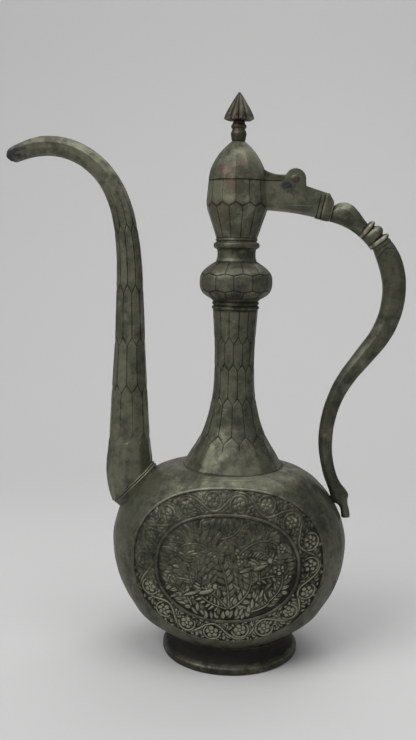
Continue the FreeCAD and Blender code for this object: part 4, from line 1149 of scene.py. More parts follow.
def make_body():
    """The hollow body, with lines turned on its shoulder and a chased medallion on each face."""
    sizes = bpy.context.scene.ewer_sizes
    angles = even_angles(sizes.body_cell / MM)
    levels, lines = shoulder_lines(even_levels(sizes.body_cell / MM))
    outer = body_rings(levels, angles, lines)
    bottom = body_rings([BODY_BASE], angles, 0.0)
    base_rings = np.concatenate([bottom * (share, share, 1) for share in (0.12, 0.4, 0.7, 0.9, 0.97)])
    inner = body_rings(np.linspace(NECK_BASE - BODY_WALL, BODY_BASE + BODY_WALL, 24), angles, BODY_WALL)
    hole = polar(NECK_HOLE_RADIUS, np.array([[NECK_BASE], [NECK_BASE - BODY_WALL]]), angles)
    verts, faces = skin(np.concatenate([base_rings, outer, hole, inner]), caps=(True, True))
    verts, faces, inside = refine_medallions(verts, faces, sizes.relief_cuts)
    # The shoulder is lightened towards the neck, partly rubbing and partly a painted highlight where it
    # faces the light; painted shade darkens the body near the foot and where the neck and foot cover it
    heights = PLAIN_HEIGHT + 0.16 * unit((verts[:, 2] - NECK_BASE + 20.0) / 12.0)
    heights *= seam_shade(verts[:, 2], (BODY_BASE,), 4.0)
    heights *= np.where(np.hypot(verts[:, 0], verts[:, 1]) < NECK_BASE_RADIUS + 1.2, 0.35, 1.0)
    outside = on_body_face(verts)
    for mark in SHOULDER_MARKS:
        heights -= 0.25 * outside * ridge(NECK_BASE - mark - verts[:, 2], 0.16)
    for side, shift in ((-1, 0), (1, 1)):
        mine = inside & (verts[:, 1] * side > 0)
        carve_medallion(verts, heights, mine, side, chased_plate(sizes.seed + shift))
    put_piece("body", (verts, faces), "ewer", "body_metal", ["body_shell"], heights, sharp=60.0)


def carve_medallion(verts, heights, mine, side, plate):
    """Raise the ornament on one medallion's vertices, and set the dirt, wear and painted highlights there.
    """
    sizes = bpy.context.scene.ewer_sizes
    across, level = verts[mine, 0], verts[mine, 2]
    spots, normals = body_face(across, level, side)
    up = level - MEDALLION_LEVEL
    radius = medallion_share(across, level)
    carved = plate.sample(across * -side, up)
    wear = worn_share(across * -side, up)
    ground = unit((1.0 - radius) / 0.02)
    lift = (carved * wear * sizes.relief_height - sizes.ground_depth * ground) / MM
    lift *= ground
    verts[mine] = spots + normals * lift[:, None]
    # Crests are rubbed light, with a painted highlight that grows towards the bottom
    crest_rub_and_highlight = 1.12 + 0.55 * unit(-up / 30.0)
    shade = np.where(ground > 0.5, 0.44 - 0.24 * wear + crest_rub_and_highlight * carved * wear, PLAIN_HEIGHT)
    heights[mine] = np.where(radius < 1, shade, PLAIN_HEIGHT)


def worn_share(across, up):
    """How much of the relief's height is left: hands have flattened it above."""
    rubbed = unit(0.45 + up / 55.0 - across / 150.0)
    return 1.0 - 0.55 * rubbed ** 1.5


def refine_medallions(verts, faces, cuts):
    """Cut the cells inside both medallions finer; returns the mesh and which vertices lie there."""
    mesh = bpy.data.meshes.new("body_rough")
    mesh.from_pydata(verts.tolist(), [], faces)
    work = bmesh.new()
    work.from_mesh(mesh)
    bpy.data.meshes.remove(mesh)
    on_face = on_body_face(verts)
    margin = 1.06
    chosen = []
    for face in work.faces:
        middle = face.calc_center_median()
        near = medallion_share(middle.x, middle.z)
        if near < margin and all(on_face[vert.index] for vert in face.verts):
            chosen.append(face)
    edges = list(dict.fromkeys(edge for face in chosen for edge in face.edges))
    bmesh.ops.subdivide_edges(work, edges=edges, cuts=cuts, use_grid_fill=True)
    work.verts.index_update()
    verts = np.array([vert.co[:] for vert in work.verts])
    faces = [[vert.index for vert in face.verts] for face in work.faces]
    work.free()
    return verts, faces, on_body_face(verts) & (medallion_share(verts[:, 0], verts[:, 2]) < 1)


def on_body_face(verts):
    """Which vertices lie on the body's outer face, not on its inner wall."""
    width, depth = body_half_sizes(verts[:, 2])
    return ((verts[:, 0] + BODY_SWAY) / width) ** 2 + (verts[:, 1] / depth) ** 2 > 0.985


def make_rims():
    """The wires round both medallions and round their inner fields."""
    edges = (
        ("outer", MEDALLION_HALF_WIDTH, MEDALLION_HALF_HEIGHT, 0.18),
        ("inner", FIELD_HALF_WIDTH, FIELD_HALF_HEIGHT, 0.03),
    )
    for face, side in (("front", -1), ("back", 1)):
        for edge, half_width, half_height, top_wear_and_highlight in edges:
            shape, heights = rim_wire(half_width, half_height, side, top_wear_and_highlight)
            put_piece(f"{face}_{edge}_wire", shape, "ewer", "rim_metal", [f"{face}_{edge}_rim"], heights)


def rim_wire(half_width, half_height, side, top_wear_and_highlight):
    """A hammered wire laid on the body just inside an oval, worn bare and given a painted highlight at its
    top.
    """
    angle, turn = around(260), around(14)
    across, up = oval_spots(half_width - RIM_WIDTH / 2, half_height - RIM_WIDTH / 2, angle)
    spots, normals = body_face(across, MEDALLION_LEVEL + up, side)
    along = np.roll(spots, -1, axis=0) - np.roll(spots, 1, axis=0)
    along /= np.linalg.norm(along, axis=1, keepdims=True)
    beside = np.cross(normals, along)
    hammer = np.array([noise.noise(Vector(spot) / 5.0) for spot in spots])
    wide = RIM_WIDTH / 2 * (0.92 + 0.10 * hammer)
    high = 0.72 + 0.14 * hammer
    rings = (
        spots[:, None] - normals[:, None] * 0.1
        + beside[:, None] * (wide[:, None] * np.cos(turn))[..., None]
        + normals[:, None] * (high[:, None] * np.sin(turn))[..., None]
    )
    # The crest and the upper left of the oval are lighter: wear, and a painted highlight where the light
    # falls
    worn = 0.10 + top_wear_and_highlight * unit(np.sin(angle - 0.4)) ** 2
    heights = 0.52 + np.outer(worn, 1 + np.sin(turn))
    return skin(rings, close_rows=True), heights.ravel()


# Neck, collars, bulb and cup


def neck_radius(share):
    """The neck's radius at shares of its height."""
    stations = [
        (place, NECK_WAIST_RADIUS + (widest - NECK_WAIST_RADIUS) * flare)
        for widest, shares in ((NECK_BASE_RADIUS, NECK_SKIRT_SHARES), (NECK_TOP_RADIUS, NECK_TOP_SHARES))
        for place, flare in shares
    ]
    return smooth_curve(stations, share)


def groove_cut(nearest, sizes):
    """Depth of the grooves and softened scale edges at a distance from the nearest groove."""
    width = sizes.groove_width / MM
    depth = sizes.groove_depth / MM
    return depth * ridge(nearest, width) + 0.3 * depth * np.exp(-nearest / (2.4 * width))


def groove_height(nearest, sizes):
    """Surface height at a distance from the nearest groove."""
    away = 1 - ridge(nearest, 1.3 * sizes.groove_width / MM)
    return GROOVE_HEIGHT + (SCALE_HEIGHT - GROOVE_HEIGHT) * away


def make_neck():
    """A many-sided neck with tiers of staggered scales, faint on its skirt."""
    sizes = bpy.context.scene.ewer_sizes
    wall, point = 2.0, 5.0
    share, angles = grid(230, NECK_SCALES * 16)
    length = NECK_TOP - NECK_BASE
    level = NECK_BASE + length * share
    radius = neck_radius(share)
    turn = angles / TURN * NECK_SCALES + 0 * share
    marks = [length * mark for mark in NECK_TIER_SHARES]
    offset, nearest = scale_pattern(turn, length * share, TURN * radius / NECK_SCALES, marks, point)
    facet = radius * facet_reach(NECK_SCALES) / np.cos(offset * TURN / NECK_SCALES)
    clear = np.clip(share / 0.2, 0.35, 1)
    outer = polar(facet - groove_cut(nearest, sizes) * clear, level, angles)
    heights = SCALE_HEIGHT - (SCALE_HEIGHT - groove_height(nearest, sizes)) * clear
    heights = heights * seam_shade(level, (NECK_BASE, NECK_TOP))
    bore = [
        (float(neck_radius(1 - part)) - wall, NECK_TOP - length * part) for part in np.linspace(0, 1, 14)
    ]
    put_tube("neck", "neck_tube", "ewer", "neck_metal", outer, bore, heights)


def make_collars():
    """The moulded rings below and above the bulb."""
    lower = [
        (NECK_BORE, BULB_BASE - 2), (NECK_BORE, NECK_TOP), (NECK_TOP_RADIUS, NECK_TOP),
        (14.3, NECK_TOP + 0.5), (15.5, NECK_TOP + 1.1), (15.5, NECK_TOP + 2.5), (14.4, NECK_TOP + 3.1),
        (14.4, NECK_TOP + 3.5), (15.3, NECK_TOP + 4.0), (15.3, NECK_TOP + 5.2), (14.6, NECK_TOP + 5.9),
        (BULB_FOOT_RADIUS - 0.3, BULB_BASE), (NECK_BORE, BULB_BASE), (NECK_BORE, BULB_BASE - 1.8),
    ]
    # dim=0.45 is painted shade beneath the bulb's overhang
    turned_piece("neck_collar", "lower_collar", "ewer", "neck_metal", lower, 0.7, 128, 0.8, dim=0.45)
    upper = [
        (THROAT_BORE, CUP_BASE - 4), (THROAT_BORE, BULB_TOP), (BULB_NECK_RADIUS, BULB_TOP),
        (12.7, BULB_TOP + 2.4), (THROAT_RADIUS, BULB_TOP + 5.0), (12.7, BULB_TOP + 7.6),
        (13.4, BULB_TOP + 8.4), (15.1, BULB_TOP + 9.3), (15.1, BULB_TOP + 11.9), (13.4, BULB_TOP + 12.9),
        (13.1, BULB_TOP + 13.4), (13.9, BULB_TOP + 14.0), (13.5, CUP_BASE), (THROAT_BORE, CUP_BASE),
        (THROAT_BORE, CUP_BASE - 3.8),
    ]
    # dim=0.85 is painted shade beneath the cup
    turned_piece("throat_collar", "upper_collar", "ewer", "neck_metal", upper, 0.8, 128, 0.8, dim=0.85)


def make_bulb():
    """A knop of staggered planes, softened towards a round form."""
    sizes = bpy.context.scene.ewer_sizes
    hollow, seat = 20.6, 2.2
    share, angles = grid(90, BULB_SCALES * 20)
    height = BULB_TOP - BULB_BASE
    level = BULB_BASE + height * share
    low, high = BULB_TIER_SHARES
    staggered = facet_offset(angles, BULB_SCALES, 0.5)
    aligned = facet_offset(angles, BULB_SCALES, 0.0)
    side = BULB_RADIUS * facet_reach(BULB_SCALES)
    middle = side / np.cos(staggered) + 0 * share
    heel = (BULB_FOOT_RADIUS + (side - BULB_FOOT_RADIUS) * share / low) / np.cos(aligned)
    crown = (BULB_NECK_RADIUS + (side - BULB_NECK_RADIUS) * (1 - share) / (1 - high)) / np.cos(aligned)
    slanted = soft_least(heel, crown, 0.8)
    planes = soft_least(middle, slanted, 1.1)
    edge = edge_angle(np.where(middle < slanted, staggered, aligned), BULB_SCALES) * planes
    nearest = np.minimum(np.abs(middle - slanted) * 0.75, edge)
    round_form = smooth_curve(BULB_ROUND_STATIONS, share)
    radius = 0.3 * planes + 0.7 * round_form + 0.35 * (1 - np.exp(-nearest / 1.6)) - 0.2
    outer = polar(radius - 0.6 * groove_cut(nearest, sizes), level, angles)
    heights = groove_height(nearest, sizes) * seam_shade(level, (BULB_BASE, BULB_TOP), 2.5)
    bore = [
        (THROAT_BORE, BULB_TOP), (THROAT_BORE, BULB_TOP - seat), (hollow, BULB_BASE + height * high),
        (hollow, BULB_BASE + height * low), (NECK_BORE, BULB_BASE + seat), (NECK_BORE, BULB_BASE),
    ]
    put_tube("bulb", "neck_bulb", "ewer", "neck_metal", outer, bore, heights)


def make_cup():
    """The faceted mouth: planes that lean out below and in above, staggered at the belly."""
    sizes = bpy.context.scene.ewer_sizes
    share, angles = grid(110, CUP_SCALES * 20)
    height = CUP_RIM - CUP_BASE
    level = CUP_BASE + height * share
    foot, side, rim = (
        radius * facet_reach(CUP_SCALES) for radius in (CUP_FOOT_RADIUS, CUP_RADIUS, CUP_RIM_RADIUS))
    upper_turn = facet_offset(angles, CUP_SCALES, 0.0)
    lower_turn = facet_offset(angles, CUP_SCALES, 0.5)
    upper = (rim + (side - rim) * (1 - share) / (1 - CUP_BELLY_SHARE)) / np.cos(upper_turn)
    lower = (foot + (side - foot) * share / CUP_BELLY_SHARE) / np.cos(lower_turn)
    radius = soft_least(upper, lower, 0.9)
    edge = edge_angle(np.where(upper < lower, upper_turn, lower_turn), CUP_SCALES) * radius
    nearest = np.minimum(np.abs(upper - lower), edge)
    outer = polar(radius - 0.6 * groove_cut(nearest, sizes), level, angles)
    heights = groove_height(nearest, sizes) * seam_shade(level, (CUP_BASE, CUP_RIM))
    bore = [
        (rim - CUP_WALL, CUP_RIM), (side - CUP_WALL, CUP_BASE + height * CUP_BELLY_SHARE),
        (THROAT_BORE + 1.5, CUP_BASE + 3.0), (THROAT_BORE, CUP_BASE),
    ]
    put_tube("cup", "mouth_cup", "ewer", "head_metal", outer, densify(np.array(bore), 3.0), heights)


# Lid and finial


def make_lid():
    """The faceted dome, the ring inside it that drops into the cup, and the hinge bracket."""
    sizes = bpy.context.scene.ewer_sizes
    crown_bore = 4.8
    share, angles = grid(80, CUP_SCALES * 20)
    height = LID_TOP - LID_BASE
    level = LID_BASE + height * share
    span = CUP_RIM_RADIUS - LID_TOP_RADIUS
    plain = LID_TOP_RADIUS + span * smooth_curve(LID_SECTION_SHARES, share)
    turn = facet_offset(angles, CUP_SCALES, 0.0)
    radius = plain * facet_reach(CUP_SCALES) / np.cos(turn)
    nearest = edge_angle(turn, CUP_SCALES) * radius
    fade = unit((1 - share) / 0.25)
    outer = polar(radius - 0.45 * groove_cut(nearest, sizes) * fade, level, angles)
    heights = 1 - (1 - groove_height(nearest, sizes)) * 0.7 * fade
    heights = np.minimum(heights, 0.78) * seam_shade(level, (LID_BASE, LID_TOP), 0.9)
    bore = [(PEG_RADIUS, LID_TOP), (PEG_RADIUS, LID_TOP - LID_CROWN)]
    for part in np.linspace(1, 0, 12):
        bulge = (CUP_RIM_RADIUS - LID_WALL - crown_bore) * float(smooth_curve(LID_SECTION_SHARES, part))
        bore.append(((crown_bore + bulge) * 0.985, LID_BASE + (height - LID_CROWN) * part))
    put_tube("lid", "lid_dome", "lid", "lid_metal", outer, bore, heights)
    ring = [
        (14.2, LID_BASE - 2), (14.2, LID_BASE - 4.0), (15.7, LID_BASE - 4.0), (15.7, LID_BASE),
        (16.7, LID_BASE + 0.2), (16.3, LID_BASE + 3.0), (14.2, LID_BASE + 3.0), (14.2, LID_BASE - 1.8),
    ]
    turned_piece("lid_ring", "lid_flange", "lid", "lid_metal", ring, 0.4, 96)
    make_tongue()


def make_tongue():
    """The lid's bracket: a flare off the dome that narrows to the knuckle on the pin."""
    top = HINGE_Z + 3.0
    start_x, end_x = 11.0, HINGE_X - 8.5
    upper = [
        (start_x + (end_x - start_x) * part, top + 8.0 * (1 - part) ** 2.2)
        for part in np.linspace(0, 1, 16)
    ]
    knuckle = [
        (HINGE_X + KNUCKLE_RADIUS * math.sin(a), HINGE_Z + KNUCKLE_RADIUS * math.cos(a))
        for a in np.linspace(-0.95, math.pi - 0.15, 22)
    ]
    lower = [(HINGE_X - 3.0, LID_BASE), (start_x, LID_BASE)]

    def half_width(x):
        share = unit((x - start_x) / (end_x - 2.5 - start_x))
        return KNUCKLE_HALF_WIDTH + 3.6 * (1 - share) ** 1.6

    put_piece(
        "lid_bracket", slab(upper + knuckle + lower, half_width), "lid", "lid_metal", ["lid_tongue"],
        sharp=50.0, bevel=0.5, dim=0.55)


def slab(outline, half_width):
    """A plate with a closed XZ outline whose half width depends on X."""
    count = len(outline)
    verts = []
    for side in (-1, 1):
        verts += [(x, side * half_width(x), z) for x, z in outline]
    faces = [list(range(count))[::-1], list(range(count, 2 * count))]
    for index in range(count):
        after = (index + 1) % count
        faces.append([index, after, after + count, index + count])
    return np.array(verts), faces


def make_finial():
    """The turned stem with its peg, the washer inside the lid and the fluted cone on top."""
    stem = [
        (0.3, LID_TOP - 4.8), (PEG_RADIUS, LID_TOP - 4.8), (PEG_RADIUS, LID_TOP), (4.1, LID_TOP),
        (4.5, LID_TOP + 1.2), (5.1, LID_TOP + 4.6), (4.9, LID_TOP + 5.8), (4.1, LID_TOP + 7.4),
        (4.1, LID_TOP + 8.0), (4.9, LID_TOP + 8.7), (4.9, LID_TOP + 10.2), (4.0, LID_TOP + 10.9),
        (3.7, BUD_BASE), (PEG_RADIUS, BUD_BASE), (PEG_RADIUS, BUD_BASE + 6), (0.3, BUD_BASE + 6),
    ]
    # dim=0.75 is painted shade beneath the cone
    turned_piece(
        "finial_spindle", "finial_stem", "lid", "finial_metal", stem, 0.8, 64, 0.7, bored=False, dim=0.75)
    washer = [
        (PEG_RADIUS, LID_TOP - 3.8), (PEG_RADIUS, LID_TOP - 4.3), (3.8, LID_TOP - 4.3),
        (3.8, LID_TOP - 3.4), (PEG_RADIUS, LID_TOP - 3.4), (PEG_RADIUS, LID_TOP - 3.7),
    ]
    turned_piece("finial_keeper", "finial_washer", "lid", "finial_metal", washer, 0.2, 48)
    make_bud()


def make_bud():
    """A fluted cone: round petals whose ends scallop the lip."""
    share, angles = grid(60, BUD_PETALS * 20)
    lip_radius, lip_rise = 9.3, 1.5
    petal = np.abs(np.cos(angles * BUD_PETALS / 2)) ** 0.75
    body = BUD_RADIUS * smooth_curve(BUD_STATION_SHARES, share)
    flute = 1 - (0.22 - 0.06 * share) * (1 - petal)
    scallop = 1.3 * (1 - petal) * (1 - share) ** 3
    level = BUD_BASE + lip_rise + (BUD_TOP - BUD_BASE - lip_rise) * share + scallop
    rings = []
    for radius, drop in ((3.9, 0.0), (6.0, 0.15), (8.2, 0.3), (lip_radius, 0.9)):
        ring_flute = 1 - 0.17 * (1 - petal) * (radius / BUD_RADIUS) ** 2
        rise = 1.2 * (1 - petal) * (radius / lip_radius) ** 3
        rings.append(polar(radius * ring_flute, BUD_BASE + drop + rise, angles))
    rings = np.concatenate([*rings, polar(body * flute, level, angles)])
    put_piece(
        "finial_cone", skin(rings, caps=(True, True)), "lid", "finial_metal", ["finial_bud"],
        sharp=80.0, dim=0.9)


# Hinge and handle


def arc_points(centre_x, centre_z, radius, start, end, count):
    """Points along an arc in the XZ plane."""
    return [stride(centre_x, centre_z, angle, radius) for angle in np.linspace(start, end, count)]


def swell(start, end, bulge, count=9):
    """Points from start towards end along a shallow bow; the end itself is left out."""
    (x0, z0), (x1, z1) = start, end
    points = []
    for part in np.linspace(0, 1, count)[:-1]:
        away = 4 * bulge * part * (1 - part)
        points.append((x0 + (x1 - x0) * part + (z1 - z0) * away, z0 + (z1 - z0) * part - (x1 - x0) * away))
    return points


def bow_spot(radius):
    """The point where the bow begins, at a radius from the middle of its first arc."""
    return stride(BOW_CENTRE_X, BOW_LEVEL, BOW_TURN, radius)


def make_arm():
    """A flat bar from the cup, with two ears and the slot for the lid's knuckle between them."""
    top = CUP_RIM - 0.3
    root_x, root_z = 17.4, CUP_RIM - 18.0
    low = bow_spot(BOW_RADIUS - GRIP_RADIUS)
    high = bow_spot(BOW_RADIUS - GRIP_RADIUS + 11.8)
    crest = (low[0] - 1.2, low[1] + 17.2)
    ear_right, ear_left = HINGE_X + EAR_RADIUS, HINGE_X - EAR_RADIUS
    shared = [
        (ear_left - 2.0, top), (root_x, top), *swell((root_x, root_z), low, -0.03),
        low, *swell(high, crest, 0.06, 5), crest, (ear_right + 0.4, top - 2.8),
    ]
    ear = [(ear_right, HINGE_Z - 2.0), *arc_points(HINGE_X, HINGE_Z, EAR_RADIUS, 0, math.pi, 25)]
    slot = [
        (ear_right - 0.6, HINGE_Z + 1.5),
        *arc_points(HINGE_X, HINGE_Z, KNUCKLE_RADIUS + 0.4, 0.35, -math.pi + 0.3, 21),
    ]
    # The cheeks' lower edge is chamfered along the bar's underside
    raised = [(x, z + CHAMFER) if 1 < index < 11 else (x, z) for index, (x, z) in enumerate(shared)]
    put_piece(
        "handle_bar", forked_bar(shared, raised, ear, slot), "ewer", "arm_metal", ["handle_arm"],
        sharp=35.0, bevel=0.55)
    make_bar_collar()


def forked_bar(shared, raised, ear, slot):
    """A bar whose cheeks follow the raised and ear outlines and whose core follows the slot outline."""
    layers = (-ARM_HALF_WIDTH, -SLOT_HALF_WIDTH, SLOT_HALF_WIDTH, ARM_HALF_WIDTH)
    verts = []
    faces = []

    def add_line(points, layer):
        first = len(verts)
        verts.extend((x, layers[layer], z) for x, z in points)
        return list(range(first, len(verts)))

    common = [add_line(shared if layer in (1, 2) else raised, layer) for layer in range(4)]
    cheek = [add_line(ear, layer) for layer in range(4)]
    core = [add_line(slot, layer) for layer in (1, 2)]

    def strip(near, far):
        for index in range(len(near) - 1):
            faces.append([near[index], near[index + 1], far[index + 1], far[index]])

    for layer in range(3):
        strip(common[layer], common[layer + 1])
    for layer in (0, 2):
        near = [common[layer][-1], *cheek[layer], common[layer][0]]
        far = [common[layer + 1][-1], *cheek[layer + 1], common[layer + 1][0]]
        strip(near, far)
    strip([common[1][-1], *core[0], common[1][0]], [common[2][-1], *core[1], common[2][0]])
    faces.append(common[0] + cheek[0])
    faces.append(common[3] + cheek[3])
    faces.append([common[1][-1], *cheek[1], common[1][0], *reversed(core[0])])
    faces.append([common[2][-1], *cheek[2], common[2][0], *reversed(core[1])])
    return np.array(verts), faces


def make_bar_collar():
    """A thin band and a block across the bar's end, with grooves between them."""
    low = np.array(bow_spot(BOW_RADIUS - GRIP_RADIUS))
    ahead = np.array((math.sin(BOW_TURN), -math.cos(BOW_TURN)))
    up = np.array((math.cos(BOW_TURN), math.sin(BOW_TURN)))
    corner, corner_steps = 1.8, 4
    rings = []
    heights = []
    for distance, growth in BAR_COLLAR_STATIONS:
        shade = 0.12 if growth < 0.1 else 0.70
        heights += [shade] * 4 * (corner_steps + 1)
        fall = 5.2 * max(0.0, (distance + 4.6) / 3.6) ** 1.4
        tall = 17.196 + 0.13 * distance + growth - fall
        middle = low + ahead * distance + up * (tall / 2 - 0.1)
        half_height, half_width = tall / 2 + growth / 2, ARM_HALF_WIDTH + growth
        rings.append(box_ring(middle, up, half_height, half_width, corner, corner_steps))
    put_piece(
        "handle_bands", skin(np.array(rings), caps=(True, True)), "ewer", "arm_metal", [],
        [*heights, CAP_HEIGHT, CAP_HEIGHT], sharp=50.0)


def box_ring(middle, up, half_height, half_width, corner, steps):
    """A ring of points on a rounded rectangle across Y and the given direction."""
    ring = []
    for side, rise, start in ((1, 1, 0), (-1, 1, 1), (-1, -1, 2), (1, -1, 3)):
        for step in range(steps + 1):
            angle = (start + step / steps) * math.pi / 2
            y = side * (half_width - corner) + corner * math.cos(angle)
            h = rise * (half_height - corner) + corner * math.sin(angle)
            ring.append((middle[0] + up[0] * h, y, middle[1] + up[1] * h))
    return ring


class Spine:
    """A curve in the XZ plane made of straight and curved runs, each (length, turn)."""

    def __init__(self, x, z, heading, runs):
        rows = []
        mark = 0.0
        for length, turn in runs:
            bend = turn / length
            rows.append((mark, x, z, heading, bend))
            x, z, heading = self.step(x, z, heading, bend, length)
            mark += length
        self.rows = np.array(rows)
        self.length = mark

    @staticmethod
    def step(x, z, heading, bend, part):
        middle = heading + bend * part / 2
        chord = part * np.sinc(bend * part / TURN)
        return x + chord * np.cos(middle), z + chord * np.sin(middle), heading + bend * part

    def at(self, distance):
        """Points and headings at distances along the curve."""
        distance = np.asarray(distance, float)
        index = np.clip(np.searchsorted(self.rows[:, 0], distance, side="right") - 1, 0, len(self.rows) - 1)
        mark, x, z, heading, bend = np.moveaxis(self.rows[index], -1, 0)
        return self.step(x, z, heading, bend, distance - mark)

    def tube(self, distance, angles, radius, shift=0.0):
        """Points round the curve; angle 0 is to its left, a quarter turn is towards -Y."""
        x, z, heading = self.at(distance)
        aside = radius * np.cos(angles) + shift
        return np.stack(np.broadcast_arrays(
            x - np.sin(heading) * aside, -radius * np.sin(angles), z + np.cos(heading) * aside), axis=-1)


def arc_run(radius, degrees):
    """The (length, turn) of an arc."""
    return (radius * math.radians(abs(degrees)), math.radians(degrees))


def bow_spine():
    """The bow's curve: the first arc down, an S whose bends make it land, the heel on the body."""
    heel = [arc_run(67.0, 28.0), (8.0, 0.0), arc_run(30.0, -25.0)]
    heel_curve = Spine(0.0, 0.0, -math.pi / 2, heel)
    heel_x, heel_z, _ = heel_curve.at(heel_curve.length)
    across = BOW_CENTRE_X + BOW_RADIUS - (TERMINAL_X - heel_x)
    down = BOW_LEVEL - (TERMINAL_Z - heel_z)
    least, most = 0.0, math.pi / 2
    for _ in range(50):
        turn = (least + most) / 2
        rest = down - GRIP_STRAIGHT * math.cos(turn)
        reach = rest * math.tan(turn / 2) + GRIP_STRAIGHT * math.sin(turn)
        least, most = (turn, most) if reach < across else (least, turn)
    radii = (down - GRIP_STRAIGHT * math.cos(turn)) / math.sin(turn)
    bend = math.degrees(turn)
    x, z = bow_spot(BOW_RADIUS)
    runs = [
        (BOW_RADIUS * BOW_TURN, -BOW_TURN), arc_run(radii * SWING_SHARE, -bend), (GRIP_STRAIGHT, 0.0),
        arc_run(radii * (1 - SWING_SHARE), bend), *heel,
    ]
    return Spine(x, z, BOW_TURN - math.pi / 2, runs)


def octagon(angles, softness):
    """Distance of a softened octagon from its middle, 1 at its flats."""
    offset = facet_offset(angles, GRIP_SIDES, 0.0)
    sharp = 1 / np.cos(offset)
    return sharp * (1 - softness) + softness * 1.03


def bow_piece(name, node, spine, start, length, radius, shares, softness, worn):
    """A cast piece of the bow with the smooth underside all of them share, worn on its crest."""
    share, angles = grid(max(12, int(length * 1.7)), 72)
    apothem = radius * smooth_curve(shares, share)
    shift = apothem - GRIP_RADIUS
    rings = spine.tube(start + length * share, angles, apothem * octagon(angles, softness), shift)
    edge = edge_angle(facet_offset(angles, GRIP_SIDES, 0.0), GRIP_SIDES)
    crest = (apothem / apothem.max()) ** 8 * (0.55 + 0.45 * ridge(edge, 0.12))
    heights = (0.58 + worn * crest) * seam_shade(length * share, (0.0, length), 1.0)
    put_piece(
        name, skin(rings, caps=(True, True)), "ewer", "bow_metal", [node],
        [*heights.ravel(), CAP_HEIGHT, CAP_HEIGHT], sharp=60.0)


def make_bow():
    """The cast segments of the bow, end to end, and the grip after them."""
    spine = bow_spine()
    start = 0.0
    for name, node, length, *form in BOW_SEGMENTS:
        bow_piece(name, node, spine, start, length, *form)
        start += length
    make_grip(spine, start)


def make_grip(spine, start):
    """The long S-shaped grip, with a turned line and a pointed one cut near its top."""
    share, angles = grid(260, 96)
    line_level, point_level, point_rise, line_width = 2.4, 4.2, 5.0, 0.5
    apothem = GRIP_RADIUS * smooth_curve(GRIP_STATION_SHARES, share)
    edge = ridge(edge_angle(facet_offset(angles, GRIP_SIDES, 0.0), GRIP_SIDES) * apothem, 0.5)
    distance = (spine.length - start) * share
    pointed = point_level + point_rise * np.abs((angles / TURN * 4) % 2 - 1)
    cut = ridge(distance - pointed, line_width) + ridge(distance - line_level, line_width)
    radius = apothem * octagon(angles, 0.3) - 0.3 * cut - 0.05 * edge
    rings = spine.tube(start + distance, angles, radius)
    heights = unit(0.68 - 0.14 * edge - 0.5 * cut).ravel()
    put_piece(
        "handle_grip_bar", skin(rings, caps=(True, True)), "ewer", "handle_metal", ["handle_grip"],
        [*heights, 0.6, 0.6], sharp=60.0)


def make_pin():
    """The riveted pin: a domed head on each side of the ears."""
    half = ARM_HALF_WIDTH
    profile = rounded(
        [
            (0.2, -half - 0.9), (1.4, -half - 0.85), (PIN_HEAD_RADIUS, -half - 0.2),
            (PIN_HEAD_RADIUS, -half), (PIN_RADIUS, -half), (PIN_RADIUS, half), (PIN_HEAD_RADIUS, half),
            (PIN_HEAD_RADIUS, half + 0.2), (1.4, half + 0.85), (0.2, half + 0.9),
        ],
        0.4)
    rings = lathe(densify(profile, 0.6), 40)
    turned = np.stack([rings[..., 0] + HINGE_X, -rings[..., 2], rings[..., 1] + HINGE_Z], axis=-1)
    put_piece("hinge_rivet", skin(turned, caps=(True, True)), "ewer", "pin_copper", ["hinge_pin"])


# Spout


def spout_spine():
    """The spout's curve from inside the body up to its beak."""
    runs = [
        arc_run(115.0, -15.0), (121.7, 0.0), arc_run(200.0, 12.0), arc_run(73.0, 19.0), arc_run(48.0, 79.0),
        (10.4, 0.0),
    ]
    return Spine(-66.08, 97.54, math.radians(105.0), runs)


def spout_radius(share):
    """The spout's radius at shares of its length."""
    return SPOUT_BASE_RADIUS * smooth_curve(SPOUT_STATION_SHARES, share)


def seat_cut(spine, angles, inset):
    """How far along the spout each line of its wall rises out of the slanting seat."""
    low, high = np.zeros(len(angles)), np.full(len(angles), 60.0)
    for _ in range(40):
        middle = (low + high) / 2
        spots = spine.tube(middle, angles, spout_radius(middle / spine.length) - inset)
        above = (spots[:, 0] - SEAT_X) * -math.sin(SEAT_LEAN) + (spots[:, 2] - SEAT_Z) * math.cos(SEAT_LEAN)
        low = np.where(above < 0, middle, low)
        high = np.where(above < 0, high, middle)
    return high


def beak_end(spine, angles):
    """Where each line of the wall ends: the beak is cut open from its hood down to its lip."""
    upper = (1 - np.cos(angles)) / 2
    return spine.length - BEAK_LENGTH * smooth_curve(BEAK_EDGE_SHARES, upper)


